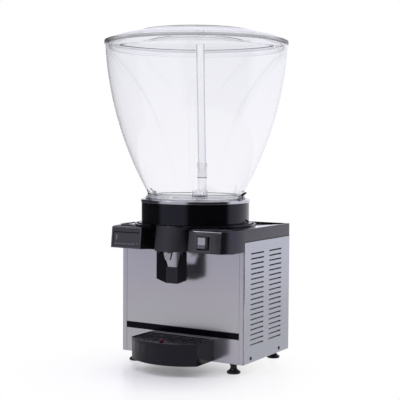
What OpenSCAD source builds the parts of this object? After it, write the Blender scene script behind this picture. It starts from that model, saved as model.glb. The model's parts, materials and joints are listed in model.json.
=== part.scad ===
// Cold drink dispenser: a clear bowl on a cooled cabinet, with a push-lever tap over a drip tray.
// Millimetres. The origin is on the counter under the bowl's axis: X right, Y to the back, Z up.

/* [Cabinet] */
// Width across the side panels
cabinet_w = 292; // [284:1:312]
// Depth from the front panel to the rear panel
cabinet_d = 204; // [198:1:226]
// Height of the side panels
cabinet_h = 245; // [238:1:270]
// Distance of the front panel in front of the bowl's axis
front_setback = 54; // [50:1:58]
// Thickness of the steel sheet
sheet_t = 1; // [0.8:0.1:1.4]
// Width of the side panels' folded flanges
flange_w = 11; // [9:1:14]
// Height of the base pan's upturned edge
pan_edge_h = 18; // [15:1:24]
// Height of the trim strip on the front panel
strip_h = 13; // [8:1:18]

/* [Louvres] */
// Slots in each column
louvre_rows = 19; // [12:1:19]
// Length of a slot
louvre_len = 56.5; // [40:0.5:60]
// Height of a slot
louvre_h = 3; // [2:0.25:4]

/* [Feet] */
// Height of the feet
foot_h = 20; // [16:1:26]
// Diameter of a foot's base
foot_d = 28; // [24:1:32]
// Distance of the feet in from the sides
foot_inset_x = 28; // [24:1:34]
// Distance of the front feet in from the front
foot_inset_front = 10; // [10:1:24]
// Distance of the rear feet in from the back
foot_inset_y = 17; // [15:1:24]

/* [Top cover] */
// Height of the cover's sides
cover_side_h = 25; // [22:1:30]
// Height of the lip round the deck
lip_h = 6; // [4:0.5:8]
// Width of the lip
lip_w = 5; // [4:0.5:7]
// Wall thickness of the cover
cover_t = 3; // [2.5:0.25:3.5]
// Depth of the front skirt below the cover's sides, in the middle
skirt_drop = 24; // [22:0.5:25]
// Overhang of the cover in front of the front panel
cover_overhang = 19; // [17:0.5:21]
// Corner radius at the cover's front
cover_front_r = 18; // [14:1:18]

/* [Control pods] */
// Distance of the pods from the middle
pod_x = 56; // [54:0.5:58]
// Width of a pod
pod_w = 72.5; // [70:0.5:74]
// Reach of the pods in front of the cover
pod_reach = 46; // [38:1:50]
// Lean of a pod's face, its foot further forward
pod_lean = 5; // [2:0.5:6]
// Width of the rocker
rocker_w = 21; // [18:0.5:22]
// Height of the rocker
rocker_h = 25; // [22:0.5:26]
// Swing of the rocker from off to on
rocker_swing = 14; // [10:1:16]

/* [Drum and plate] */
// Height of the drum's seat over the deck
seat_h = 11.5; // [10:0.5:14]
// Radius of the drum
drum_r = 112; // [109:1:113]
// Height of the drum
drum_h = 42; // [38:1:50]
// Height of the plate's bevelled rim
plate_rim_h = 7; // [6:0.5:9]

/* [Bowl] */
// Height of the bowl
bowl_h = 315; // [305:1:330]
// Radius of the bowl's neck
bowl_base_r = 100; // [98:0.5:100]
// Radius of the bowl's rim
bowl_rim_r = 188; // [180:1:195]
// Radius of the curve of the bowl's wall
bowl_curve_r = 704; // [600:1:900]
// Wall thickness of the bowl
bowl_t = 3; // [2.5:0.25:3.5]

/* [Lid] */
// Overhang of the lid past the bowl's rim
lid_overhang = 1.5; // [1:0.5:4]
// Height of the lid's upright edge
lid_edge_h = 7; // [5:0.5:8]
// Height of the lid's sloping shoulder
lid_shoulder_h = 18; // [16:0.5:20]
// Width of the shoulder
lid_shoulder_w = 71.5; // [66:0.5:76]
// Height of the step from the shoulder to the raised middle
lid_step_h = 2.7; // [2:0.1:4]
// Depth of the locating skirt inside the bowl
lid_skirt_h = 10; // [8:0.5:14]

/* [Spray column] */
// Distance of the pump behind the bowl's axis
pump_y = 18; // [14:0.5:20]
// Radius of the pump housing
pump_r = 16.5; // [15.5:0.25:18]
// Radius of the spray tube
spray_r = 8.4; // [7.8:0.1:8.6]
// Length of the spray tube
spray_len = 263; // [240:1:266]
// Lean of the spray tube in its sleeve
spray_lean = 1.75; // [0:0.25:2]

/* [Tap] */
// Reach of the tap in front of the cover
tap_reach = 32; // [31:0.5:33]
// Height of the tap cover
hood_h = 50.5; // [48:0.5:54]
// Width of the tap cover at its foot
hood_w = 75; // [74:0.5:78]
// Width of the lever
lever_w = 68.8; // [66:0.2:69]
// Length of the lever below its pins
lever_len = 107; // [95:1:112]
// Thickness of the lever's plate
lever_t = 5; // [4:0.5:6]

/* [Drip tray] */
// Width of the tray
tray_w = 154; // [146:1:158]
// Reach of the tray in front of the front panel
tray_d = 94; // [88:1:100]
// Height of the tray
tray_h = 44; // [40:1:47]
// Radius of the tray's front
tray_r = 117; // [110:0.5:130]
// Pitch of the grid's slots
grid_pitch = 7; // [6.5:0.5:10]

/* [Cooling] */
// Radius of the compressor's shell
comp_r = 60; // [54:1:62]
// Height of the compressor's shell
comp_h = 140; // [120:1:150]
// Thickness of the condenser
cond_t = 30; // [26:1:34]

/* [Fits] */
// Radial clearance of shafts and spigots
running_fit = 0.05; // [0.03:0.01:0.1]
// Gap between pieces that part or move
seat_gap = 0.3; // [0.3:0.05:0.5]

/* [Hidden] */
$fn = 64;
half_w = cabinet_w / 2;
front_y = -front_setback;
rear_y = front_y + cabinet_d;
base_z = foot_h;
panel_top_z = base_z + cabinet_h;
lip_z = panel_top_z + cover_side_h;
deck_z = lip_z - lip_h;
skirt_z = panel_top_z - skirt_drop;
nose_y = front_y - cover_overhang;
cover_rear_r = 3.2;
skirt_rise = 4.5;
slip = 0.2;

// Base pan and feet
pan_t = 1.5;
pan_z = base_z + pan_t;
foot_x = half_w - foot_inset_x;
foot_ys = [front_y + foot_inset_front, rear_y - foot_inset_y];
stud_r = 4;
stud_len = 12;
screw_z = base_z + pan_edge_h / 2;
screw_ys = [front_y + 30, rear_y - 47];
screw_r = 1.7;
screw_head_r = 3.8;
boss_r = stud_r + 4;
louvre_top = 25.5;
louvre_foot = 36;
louvre_setback = 27;
louvre_gap = 24;
louvre_pitch = (cabinet_h - louvre_top - louvre_foot) / (louvre_rows - 1);
panel_half = half_w - flange_w - 0.4;
fold_w = 12;
gland_x = half_w - 56;
gland_z = base_z + 32;

// Pods
pod_top_z = lip_z - 1;
pod_foot_z = skirt_z + skirt_rise;
pod_r = 4;
pod_mid_y = nose_y - pod_reach;
pod_mid_z = (pod_foot_z + pod_top_z) / 2;
fascia_m = 4;
lamp_x = -pod_x - 9;
lamp_z = pod_foot_z + 10;
rocker_x = pod_x + 30.3;
rocker_z = pod_foot_z + 19.5;
bezel_m = 3;
slit_w = 5.5;
cheek_t = 1.4;
rocker_gap = rocker_w / 2 + seat_gap;
bezel_x0 = rocker_x - rocker_gap - cheek_t;
slit_x0 = rocker_x + rocker_gap + cheek_t;
slit_x1 = slit_x0 + slit_w;
bezel_x1 = slit_x1 + cheek_t;
bezel_h = rocker_h + 4;

// Drum, plate and gasket
drum_z = deck_z + seat_h;
drum_top_z = drum_z + drum_h;
drum_t = 4;
seat_r = drum_r + 6;
seat_ring_r = seat_r + 8;
seat_ring_w = 4;
seat_groove = 4;
seat_bore_r = drum_r - 14;
disc_r = drum_r - 6;
plate_t = 1.5;
plate_z = drum_top_z + plate_rim_h;
dish_z = plate_z - 2;
under_z = dish_z - plate_t;
gasket_t = 1.5;

// Bowl and lid
bowl_z = plate_z + gasket_t + seat_gap;
bowl_top_z = bowl_z + bowl_h;
bowl_neck_h = 11;
bowl_flange_r = bowl_base_r + 3.5;
bowl_flange_t = 4;
lid_z = bowl_top_z + seat_gap;
lid_r = bowl_rim_r + lid_overhang;
lid_shoulder_r = 343;
lid_mid_r = lid_r - lid_shoulder_w;
lid_mid_z = lid_z + lid_edge_h + lid_shoulder_h;
lid_crown_h = 3.3;
lid_top_z = lid_mid_z + lid_step_h + lid_crown_h;
lid_t = 3;
lid_skirt_r = bowl_rim_r - bowl_t - 3.2;

// Latches
latch_x = bowl_flange_r + 4.5;
latch_z = plate_z + 6;
latch_pin_r = 1.5;
latch_w = 7;
latch_cam = 3.7;

// Spray column
pump_h = 19;
stub_x = 5;
stub_r = 9.4;
sleeve_z = dish_z + 44.5;
sleeve_h = 31;
stub_top_z = sleeve_z + 14;
magnet_r = 26;
shaft_r = 3;
coil_r = 4;
motor_r = 30;
motor_h = 52;
impeller_r = 12.5;

// Tap
hood_top_z = drum_z - 1.5;
hood_bot_z = hood_top_z - hood_h;
hood_cut = hood_w / 2 + 1.5;
hood_t = 2;
hood_edge_y = nose_y - 23;
hood_top_sag = 17;
hood_bot_sag = 27;
tap_y = nose_y - tap_reach;
pivot_y = nose_y - 20;
pivot_z = hood_top_z - 10;
pinch_z = pivot_z - 26;
tap_bot_z = pinch_z + 8;
tap_boss_z = pivot_z - 4;
tap_half = 21;
tap_flange_half = tap_half + 10;
tap_screw_x = tap_half + 6;
tap_screw_z = pivot_z - 12;
tap_flange_t = 3;
ring_z = pinch_z - 14.5;
tube_r = 6.5;
tube_bore_r = 4.5;
tube_top_z = tap_boss_z - 3;
tube_mid_z = tap_bot_z - 1.2;
anvil_y = tap_y - tube_r - slip;
tongue_y = anvil_y - 2.4;
flat_t = 3.4;
pipe_r = 7;
pipe_top_y = -(bowl_base_r - 16);
pipe_low_z = tap_boss_z - 4;
pipe_run = [0, tap_y - pipe_top_y, pipe_low_z - under_z];
pipe_angle = atan2(pipe_top_y - tap_y, under_z - pipe_low_z);
pipe_at_drum_y = pipe_top_y + (tap_y - pipe_top_y) * (under_z - drum_z - 1) / (under_z - pipe_low_z);
pin_r = 2.5;
arm_in = 25;
arm_t = 5;
lever_flat = 13.5;
lever_bot_z = pivot_z - lever_len;
lever_setback = 18;
wing_setback = 21.5;
lever_face_y = nose_y - lever_setback;
lever_wing_y = nose_y - wing_setback;
window_h = 33;
window_half = 11.9;
pin_in = 14;
lever_top_z = hood_bot_z + 2.5;

// Drip tray
tray_z = base_z + 2;
tray_top_z = tray_z + tray_h;
tray_back_y = front_y - seat_gap;
tray_front_y = front_y - tray_d;
tray_wall = 2.5;
tray_floor = 3;
tray_ledge = 4;
grid_t = 2.7;
grid_z = tray_top_z - 4;
float_y = tray_front_y + 20;
float_r = 12;
button_r = 4.2;
button_rise = 4.8;
tongue_x = 45;
tongue_w = 14;
tongue_t = 5;
tongue_z = tray_z + 26;
strip_z = base_z + 50;
strip_t = 1.5;

// Cooling
mid_y = front_y + cabinet_d / 2;
cond_x1 = half_w - sheet_t - 6;
cond_x0 = cond_x1 - cond_t;
cond_w = cabinet_d - 2 * (foot_inset_y + boss_r + 3);
cond_h = cabinet_h - 73;
cond_plate_t = 1.5;
fan_z = pan_z + cond_h / 2 + 6;
fan_r = cond_w / 2 - 10;
fan_x = cond_x0 - 9;
bracket_reach = 34;
bracket_w = 28;
bracket_t = 2;
fan_motor_len = 34;
fan_motor_r = 26;
fan_boss_r = 9;
fan_hub_r = 16;
comp_x = -half_w + sheet_t + 20 + comp_r;
comp_y = mid_y + 4;
comp_z = pan_z + 15;
mount_x = comp_r - 6;
mount_y = 52;
drier_x = comp_x + comp_r + 34;
drier_y = rear_y - 14;
drier_r = 9;
drier_neck = 8;
drier_z0 = pan_z + 60;
drier_z1 = drier_z0 + 86;

// Lines between the cooling pieces and the coil
line_r = 3;
suction_r = 4;
coil_r0 = 35;
coil_pitch = 9;
coil_turns = 4;
liquid_at = [coil_r0 + coil_pitch * coil_turns, pump_y + line_r + slip];
suction_at = [coil_r0, pump_y - suction_r - slip];

// Helpers

// Height profile in the YZ plane, drawn out along X
module along_x(x0, x1) {
  translate([x0, 0, 0]) rotate([90, 0, 90]) linear_extrude(x1 - x0) children();
}

// Profile in the XZ plane, drawn out along Y
module along_y(y0, y1) {
  translate([0, y1, 0]) rotate([90, 0, 0]) linear_extrude(y1 - y0) children();
}

module along_z(z0, z1) {
  translate([0, 0, z0]) linear_extrude(z1 - z0) children();
}

module both_sides() {
  children();
  mirror([1, 0, 0]) children();
}

// Rectangle with one radius at the front corners and one at the back corners
module round_rect(x0, x1, y0, y1, rf, rb) {
  translate([x0, y0 + rf]) square([x1 - x0, y1 - y0 - rf - rb]);
  translate([x0 + rf, y0]) square([x1 - x0 - 2 * rf, 2 * rf]);
  translate([x0 + rb, y1 - 2 * rb]) square([x1 - x0 - 2 * rb, 2 * rb]);
  for (x = [x0 + rf, x1 - rf]) translate([x, y0 + rf]) circle(rf);
  for (x = [x0 + rb, x1 - rb]) translate([x, y1 - rb]) circle(rb);
}

module slot2d(len, h) {
  square([len - h, h], center = true);
  for (s = [-1, 1]) translate([s * (len - h) / 2, 0]) circle(d = h, $fn = 24);
}

// Points of an arc of radius r from p to q, bulging away from the axis side
function arc_centre(p, q, r) =
  let (d = q - p, l = norm(d), h = sqrt(r * r - l * l / 4))
  (p + q) / 2 + [-d[1], d[0]] * h / l;
function arc_points(c, r, a0, a1, n) =
  [for (i = [0 : n]) let (a = a0 + (a1 - a0) * i / n) c + r * [cos(a), sin(a)]];
function heading(c, p) = atan2(p[1] - c[1], p[0] - c[0]);

function unit(v) = v / norm(v);

// Path with each inner corner rounded in k steps
function bent(p, r, k = 4) = concat([p[0]],
  [for (i = [1 : len(p) - 2], j = [0 : k])
    let (a = p[i] + unit(p[i - 1] - p[i]) * r, b = p[i] + unit(p[i + 1] - p[i]) * r, t = j / k)
    (1 - t) * (1 - t) * a + 2 * t * (1 - t) * p[i] + t * t * b],
  [p[len(p) - 1]]);

// One round wire or pipe along a path, made as a single closed surface
module wire(path, r, ref, sides = 8) {
  n = len(path);
  pts = [for (i = [0 : n - 1], j = [0 : sides - 1])
    let (t = unit(path[min(i + 1, n - 1)] - path[max(i - 1, 0)]),
         u = unit(cross(t, ref)), v = cross(u, t), a = 360 * j / sides)
    path[i] + r * (cos(a) * u + sin(a) * v)];
  skin = [for (i = [0 : n - 2], j = [0 : sides - 1])
    let (k = (j + 1) % sides) [i * sides + j, i * sides + k, (i + 1) * sides + k, (i + 1) * sides + j]];
  caps = [[for (j = [sides - 1 : -1 : 0]) j], [for (j = [0 : sides - 1]) (n - 1) * sides + j]];
  polyhedron(pts, concat(skin, caps));
}

// Cabinet

module base_pan() {
  x = half_w - sheet_t - slip;
  y0 = front_y + sheet_t + slip;
  y1 = rear_y - sheet_t - slip;
  color("silver") difference() {
    union() {
      difference() {
        translate([-x, y0, base_z]) cube([2 * x, y1 - y0, pan_edge_h]);
        translate([-x + pan_t, y0 + pan_t, pan_z]) cube([2 * x - 2 * pan_t, y1 - y0 - 2 * pan_t, pan_edge_h]);
      }
      for (sx = [-1, 1], y = foot_ys)
        translate([sx * foot_x, y, base_z]) cylinder(r = boss_r, h = stud_len);
    }
    for (sx = [-1, 1], y = foot_ys)
      translate([sx * foot_x, y, base_z - 1]) cylinder(r = stud_r + running_fit, h = stud_len + 2);
    for (y = screw_ys) along_x(-half_w, half_w) translate([y, screw_z])
      circle(screw_r + running_fit, $fn = 24);
  }
}

module louvre_column(y) {
  for (i = [0 : louvre_rows - 1])
    translate([y + louvre_len / 2, panel_top_z - louvre_top - i * louvre_pitch]) slot2d(louvre_len, louvre_h);
}

module right_side_panel() {
  color("lightgray") {
    along_x(half_w - sheet_t, half_w) difference() {
      translate([front_y, base_z]) square([cabinet_d, cabinet_h]);
      louvre_column(front_y + louvre_setback);
      louvre_column(front_y + louvre_setback + louvre_gap + louvre_len);
      for (y = screw_ys) translate([y, screw_z]) circle(screw_r + running_fit, $fn = 24);
    }
    for (y = [front_y, rear_y - sheet_t])
      translate([half_w - flange_w, y, base_z]) cube([flange_w, sheet_t, cabinet_h]);
  }
}

module left_side_panel() {
  mirror([1, 0, 0]) right_side_panel();
}

// Sheet between the side panels' flanges, with its edges folded into the cabinet
module infill_sheet(y, fold_y) {
  difference() {
    translate([-panel_half, y, base_z]) cube([2 * panel_half, sheet_t, cabinet_h - 2]);
    children();
  }
  z = base_z + pan_edge_h + 2;
  both_sides() translate([panel_half - sheet_t, fold_y, z]) cube([sheet_t, fold_w, panel_top_z - 2 - z]);
}

module front_panel() {
  color("gray") infill_sheet(front_y, front_y)
    both_sides() translate([tongue_x - tongue_w / 2 - 0.5, front_y - 1, tongue_z - 0.5])
      cube([tongue_w + 1, sheet_t + 2, tongue_t + 1]);
}

module rear_panel() {
  color("lightgray") infill_sheet(rear_y - sheet_t, rear_y - fold_w) {
    along_y(rear_y - sheet_t - 1, rear_y + 1) for (i = [0 : 9], sx = [-1, 1])
      translate([sx * 62, panel_top_z - 40 - i * 12]) slot2d(70, 3.5);
    along_y(rear_y - sheet_t - 1, rear_y + 1) translate([gland_x, gland_z]) circle(8 + running_fit);
  }
}

module front_trim_strip() {
  color("black") translate([-panel_half, front_y - strip_t, strip_z])
    cube([2 * panel_half, strip_t, strip_h]);
}

module panel_screw(y) {
  along_x(half_w - sheet_t - pan_t - 4, half_w + 0.5) translate([y, screw_z]) circle(screw_r, $fn = 24);
  translate([half_w, y, screw_z]) rotate([0, 90, 0])
    cylinder(r1 = screw_head_r, r2 = screw_head_r * 0.7, h = 1.6, $fn = 32);
}

module panel_screws() {
  color("dimgray") both_sides() for (y = screw_ys) panel_screw(y);
}

// Levelling foot: flared base, waist, and a stud up into the base pan
module foot(sx, y) {
  color("black") translate([sx * foot_x, y, 0]) rotate_extrude() polygon([
    [0, 0], [foot_d / 2 - 1, 0], [foot_d / 2, 1.5], [foot_d / 2, 4], [foot_d / 2 - 4, 6.5], [7, 9.5],
    [6.5, base_z - 5], [8, base_z - 3], [8, base_z - seat_gap], [stud_r, base_z - seat_gap],
    [stud_r, base_z + stud_len - 1], [0, base_z + stud_len - 1]]);
}

module foot_front_left() foot(-1, foot_ys[0]);
module foot_front_right() foot(1, foot_ys[0]);
module foot_rear_left() foot(-1, foot_ys[1]);
module foot_rear_right() foot(1, foot_ys[1]);

// Top cover

module cover_plan(inset) {
  round_rect(-half_w + inset, half_w - inset, nose_y + inset, rear_y - inset,
             cover_front_r - inset, max(cover_rear_r - inset, 0.2));
}

// Front face of the pods at height z
function pod_face(z) = pod_mid_y + pod_lean * (z - pod_mid_z) / (pod_top_z - pod_foot_z);

// Slab behind the pods' leaning face, from depth d0 to depth d1 and from z0 to z1
module face_slab(x0, x1, z0, z1, d0, d1) {
  along_x(x0, x1) polygon([[pod_face(z0) + d0, z0], [pod_face(z1) + d0, z1],
                           [pod_face(z1) + d1, z1], [pod_face(z0) + d1, z0]]);
}

// Pod with a leaning face and a foot that falls towards the skirt
module pod_solid(inset) {
  intersection() {
    along_z(skirt_z, pod_top_z - inset)
      round_rect(pod_x + inset, pod_x + pod_w - inset, pod_mid_y - pod_lean, nose_y + 12, pod_r, 1);
    along_x(0, half_w) polygon([[pod_face(pod_foot_z) + inset, pod_foot_z + inset],
      [pod_face(pod_top_z) + inset, pod_top_z], [nose_y + 9, pod_top_z], [nose_y + 9, skirt_z + inset]]);
  }
}

module pod_bodies(inset) {
  both_sides() pod_solid(inset);
}

// Front view of the skirt, whose foot rises towards its ends
module skirt_view(lift) {
  x = pod_x + pod_w;
  polygon([[-half_w, skirt_z + skirt_rise + lift], [-x, skirt_z + 0.8 + lift], [-pod_x, skirt_z + lift],
           [pod_x, skirt_z + lift], [x, skirt_z + 0.8 + lift], [half_w, skirt_z + skirt_rise + lift],
           [half_w, deck_z], [-half_w, deck_z]]);
}

module top_cover() {
  color("#26262a") difference() {
    union() {
      difference() {
        union() {
          along_z(panel_top_z, lip_z) cover_plan(0);
          intersection() {
            along_z(skirt_z, panel_top_z + 1) cover_plan(0);
            along_y(nose_y - 1, front_y - slip) skirt_view(0);
          }
          pod_bodies(0);
        }
        difference() {
          along_z(deck_z, lip_z + 1) cover_plan(lip_w);
          pod_bodies(0);
        }
        along_z(panel_top_z - 0.5, deck_z - cover_t) cover_plan(cover_t);
        intersection() {
          along_z(skirt_z + cover_t, deck_z - cover_t) cover_plan(cover_t);
          along_y(nose_y, front_y + 1) skirt_view(cover_t);
        }
        pod_bodies(cover_t);
      }
      difference() {
        rotate_extrude($fn = 128) polygon([[0, deck_z - cover_t], [seat_ring_r, deck_z - cover_t],
          [seat_ring_r, drum_z - 2], [seat_ring_r - seat_ring_w, drum_z - 2],
          [seat_ring_r - seat_ring_w, drum_z - 2 - seat_groove], [seat_r, drum_z - 2 - seat_groove],
          [seat_r, drum_z], [0, drum_z]]);
        translate([-hood_cut, -seat_ring_r - 1, deck_z - cover_t - 1])
          cube([2 * hood_cut, seat_ring_r + 1 + nose_y, seat_h + cover_t + 2]);
      }
    }
    translate([0, 0, deck_z - cover_t - 1]) cylinder(r = seat_bore_r, h = seat_h + cover_t + 2, $fn = 128);
    translate([0, 0, drum_z - 2]) cylinder(r = disc_r + slip, h = 3, $fn = 128);
    face_slab(-pod_x - pod_w + fascia_m - slip, -pod_x - fascia_m + slip, pod_foot_z + fascia_m - slip,
              pod_top_z - fascia_m + slip, -1, cover_t + 1);
    face_slab(bezel_x0 - slip, bezel_x1 + slip, rocker_z - bezel_h / 2 - slip,
              rocker_z + bezel_h / 2 + slip, -1, cover_t + 1);
    both_sides() along_y(nose_y - 1, nose_y + cover_t + 1) translate([tap_screw_x, tap_screw_z])
      circle(screw_r + running_fit, $fn = 24);
  }
}

// Plate in the left pod's window, with a raised border behind the window's edge
module control_fascia() {
  x0 = -pod_x - pod_w + fascia_m;
  x1 = -pod_x - fascia_m;
  z0 = pod_foot_z + fascia_m;
  z1 = pod_top_z - fascia_m;
  color("#303036") difference() {
    union() {
      face_slab(x0, x1, z0, z1, 1.2, cover_t + 2);
      face_slab(x0 - 1, x1 + 1, z0 - 1, z1 + 0.8, cover_t + slip / 2, cover_t + 2);
    }
    along_y(pod_mid_y - 20, nose_y) translate([lamp_x, lamp_z]) circle(2 + running_fit, $fn = 24);
  }
}

module status_lamp() {
  color("white") translate([lamp_x, pod_face(lamp_z), lamp_z]) rotate([-90, 0, 0])
    rotate_extrude() polygon([[0, 0], [1.2, 0.2], [2, 1], [2, cover_t + 2.6],
                              [3.2, cover_t + 2.6], [3.2, cover_t + 7], [0, cover_t + 7]]);
}

// Board on two pillars behind the fascia, with the temperature control's can on it
module control_board() {
  x = -pod_x - pod_w / 2;
  y = pod_mid_y + cover_t + 14;
  z = pod_mid_z;
  color("darkgreen") {
    translate([x - 28, y, z - 15]) cube([56, 1.6, 27]);
    for (sx = [-1, 1])
      along_y(pod_face(z + 3) + cover_t + 2, y + 1) translate([x + sx * 24, z]) circle(3, $fn = 24);
    along_y(y + 1, y + 16) translate([x, z]) circle(11, $fn = 32);
  }
}

// Frame round the rocker with an open slit beside it, and the switch's body behind
module switch_bezel() {
  z0 = rocker_z - bezel_h / 2;
  z1 = rocker_z + bezel_h / 2;
  color("#202024") difference() {
    union() {
      face_slab(bezel_x0 - bezel_m, bezel_x1 + bezel_m, z0 - bezel_m, z1 + bezel_m, -1.2, 0);
      face_slab(bezel_x0, bezel_x1, z0, z1, -1, 22);
    }
    face_slab(rocker_x - rocker_gap, rocker_x + rocker_gap, z0 + cheek_t, z1 - cheek_t, -2, 12);
    face_slab(slit_x0, slit_x1, z0 + cheek_t, z1 - cheek_t, -2, 12);
    along_x(bezel_x0 - 1, slit_x0 + 0.1) translate([pod_face(rocker_z) + 3, rocker_z])
      circle(1.5 + running_fit, $fn = 24);
  }
}

// Rocker with a hollowed face, standing in its on position with the upper end pressed in
module rocker() {
  w = rocker_w / 2;
  h = rocker_h / 2 - 1.2;
  color("#8f8f92") translate([rocker_x, pod_face(rocker_z) + 3, rocker_z]) rotate([-rocker_swing / 2, 0, 0]) {
    along_x(-w, w) difference() {
      polygon([[-7.5, -h], [-7.5, h], [-1, h], [3, h / 2], [3, -h / 2], [-1, -h]]);
      translate([-45.5, 0]) circle(41, $fn = 128);
    }
    along_x(-w - cheek_t, w + cheek_t) circle(1.5, $fn = 24);
  }
}

// Drum, plate and insulation

module pipe_clear(r) {
  translate([0, pipe_top_y, under_z]) rotate([180 - pipe_angle, 0, 0])
    cylinder(r = r, h = norm(pipe_run) + 6);
}

// Ways for the liquid line and the suction line up to the coil
module line_holes() {
  translate(liquid_at) circle(line_r + 0.6, $fn = 32);
  translate(suction_at) circle(suction_r + 0.6, $fn = 32);
}

module drum() {
  color("#1d1d20") difference() {
    rotate_extrude($fn = 128) polygon([[seat_bore_r, drum_z], [drum_r, drum_z], [drum_r, drum_top_z],
      [drum_r - drum_t, drum_top_z], [drum_r - drum_t, drum_z + 3], [seat_bore_r, drum_z + 3]]);
    translate([0, pipe_at_drum_y, drum_z - 1]) cylinder(r = pipe_r + 2, h = 6);
  }
}

module insulation() {
  color("khaki") difference() {
    along_z(drum_z + 3, under_z - 2 * coil_r - 0.4) difference() {
      circle(drum_r - drum_t - slip, $fn = 128);
      translate([0, pump_y]) circle(magnet_r + 4);
      line_holes();
    }
    pipe_clear(pipe_r + 0.6);
  }
}

// Pressed steel plate with a dished middle and a bevelled rim over the drum's edge
module evaporator_plate() {
  bevel = 3;
  t = plate_t;
  color("lightsteelblue") difference() {
    rotate_extrude($fn = 128) polygon([
      [drum_r, drum_top_z], [drum_r, plate_z - bevel], [drum_r - bevel, plate_z],
      [bowl_base_r - 4.5, plate_z], [bowl_base_r - 7, dish_z], [0, dish_z], [0, under_z],
      [bowl_base_r - 6.4, under_z], [bowl_base_r - 4, plate_z - t], [drum_r - bevel - 0.6, plate_z - t],
      [drum_r - t, plate_z - bevel - 0.6], [drum_r - t, drum_top_z]]);
    translate([0, pipe_top_y, under_z - 1]) cylinder(r = pipe_r - 1.5, h = 5);
  }
}

// Flat spiral of pipe against the underside of the plate
module evaporator_coil() {
  steps = 24;
  color("peru") translate([0, pump_y, under_z - coil_r]) wire([for (i = [0 : coil_turns * steps])
    let (a = 360 * i / steps, r = coil_r0 + coil_pitch * i / steps) [r * cos(a), r * sin(a), 0]],
    coil_r, [0, 0, 1], 6);
}

module bowl_gasket() {
  color("black") along_z(plate_z, plate_z + gasket_t) difference() {
    circle(bowl_flange_r + 0.5, $fn = 128);
    circle(bowl_base_r - 4.4, $fn = 128);
  }
}

// Bowl and lid

bowl_foot = [bowl_base_r, bowl_z + bowl_neck_h];
bowl_rim = [bowl_rim_r, bowl_top_z];
bowl_c = arc_centre(bowl_foot, bowl_rim, bowl_curve_r);
bowl_a0 = heading(bowl_c, bowl_foot);
bowl_a1 = heading(bowl_c, bowl_rim);

// One wall of even thickness on the curve, over an upright neck with a foot flange
module bowl() {
  outer = arc_points(bowl_c, bowl_curve_r, bowl_a0, bowl_a1, 20);
  inner = arc_points(bowl_c, bowl_curve_r - bowl_t, bowl_a1 - (bowl_a1 - bowl_a0) / 20, bowl_a0, 19);
  color([0.9, 0.92, 0.97, 0.3]) rotate_extrude($fn = 128) polygon(concat(
    [[bowl_flange_r, bowl_z], [bowl_flange_r, bowl_z + bowl_flange_t], [bowl_base_r, bowl_z + bowl_flange_t]],
    outer, [[bowl_rim_r - bowl_t, bowl_top_z]], inner, [[bowl_base_r - bowl_t, bowl_z]]));
}

// Sloping shoulder, a step up to a slightly domed middle, and a locating skirt inside the bowl
module lid() {
  p = [lid_r, lid_z + lid_edge_h];
  q = [lid_mid_r, lid_mid_z];
  c = arc_centre(p, q, lid_shoulder_r);
  a0 = heading(c, p);
  a1 = heading(c, q);
  m = q + [-lid_step_h, lid_step_h];
  dome_r = (pow(m[0], 2) + pow(lid_crown_h, 2)) / (2 * lid_crown_h);
  d = [0, lid_top_z - dome_r];
  b = heading(d, m);
  color([0.9, 0.92, 0.97, 0.3]) rotate_extrude($fn = 128) polygon(concat(
    [[lid_r, lid_z]], arc_points(c, lid_shoulder_r, a0, a1, 6), arc_points(d, dome_r, b, 90, 5),
    arc_points(d, dome_r - lid_t, 90, b + 0.05, 5), arc_points(c, lid_shoulder_r - lid_t, a1, a0 + 1.3, 6),
    [[lid_skirt_r, lid_z + 3], [lid_skirt_r - lid_t, lid_z + 3], [lid_skirt_r - lid_t, lid_z - lid_skirt_h],
     [lid_skirt_r, lid_z - lid_skirt_h], [lid_skirt_r, lid_z]]));
}

// Latches: two ears on the plate's rim, a pin, and a cam lever against the bowl's foot
module latch_brackets() {
  color("dimgray") both_sides() difference() {
    translate([bowl_flange_r + 0.8, -latch_w / 2 - 2, plate_z])
      cube([drum_r - bowl_flange_r - 2.2, latch_w + 4, 9]);
    translate([bowl_flange_r, -latch_w / 2, plate_z + 1.2]) cube([20, latch_w, 9]);
    along_y(-20, 20) translate([latch_x, latch_z]) circle(latch_pin_r + running_fit, $fn = 24);
  }
}

module latch_pins() {
  color("silver") both_sides() along_y(-latch_w / 2 - 2.6, latch_w / 2 + 2.6)
    translate([latch_x, latch_z]) circle(latch_pin_r, $fn = 24);
}

module latch_right() {
  color("#303034") along_y(-latch_w / 2 + seat_gap, latch_w / 2 - seat_gap) difference() {
    union() {
      translate([latch_x, latch_z]) circle(3.2, $fn = 32);
      translate([latch_x - latch_cam, latch_z - 2]) square([latch_cam, 3]);
      translate([latch_x, latch_z]) rotate(38) translate([0, -0.2]) square([14, 3]);
    }
    translate([latch_x, latch_z]) circle(latch_pin_r + running_fit, $fn = 24);
  }
}

module latch_left() {
  mirror([1, 0, 0]) latch_right();
}

// Spray column and its drive

module pump_housing() {
  color([0.9, 0.92, 0.97, 0.35]) {
    difference() {
      union() {
        translate([0, pump_y, dish_z]) cylinder(r = pump_r, h = pump_h);
        translate([stub_x, pump_y, dish_z + pump_h - 1])
          cylinder(r = stub_r, h = stub_top_z - dish_z - pump_h + 1);
      }
      translate([0, pump_y, dish_z + 1.2]) cylinder(r = impeller_r + 1.5, h = pump_h - 4);
      translate([stub_x, pump_y, dish_z + 5]) cylinder(r = stub_r - 2.6, h = stub_top_z);
      for (a = [0 : 90 : 270])
        translate([0, pump_y, dish_z + 4]) rotate([0, 90, a + 45])
          cylinder(r = 2.2, h = pump_r + 1, $fn = 24);
    }
    translate([0, pump_y, dish_z + 1]) cylinder(r = 1.6, h = 9, $fn = 24);
  }
}

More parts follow.
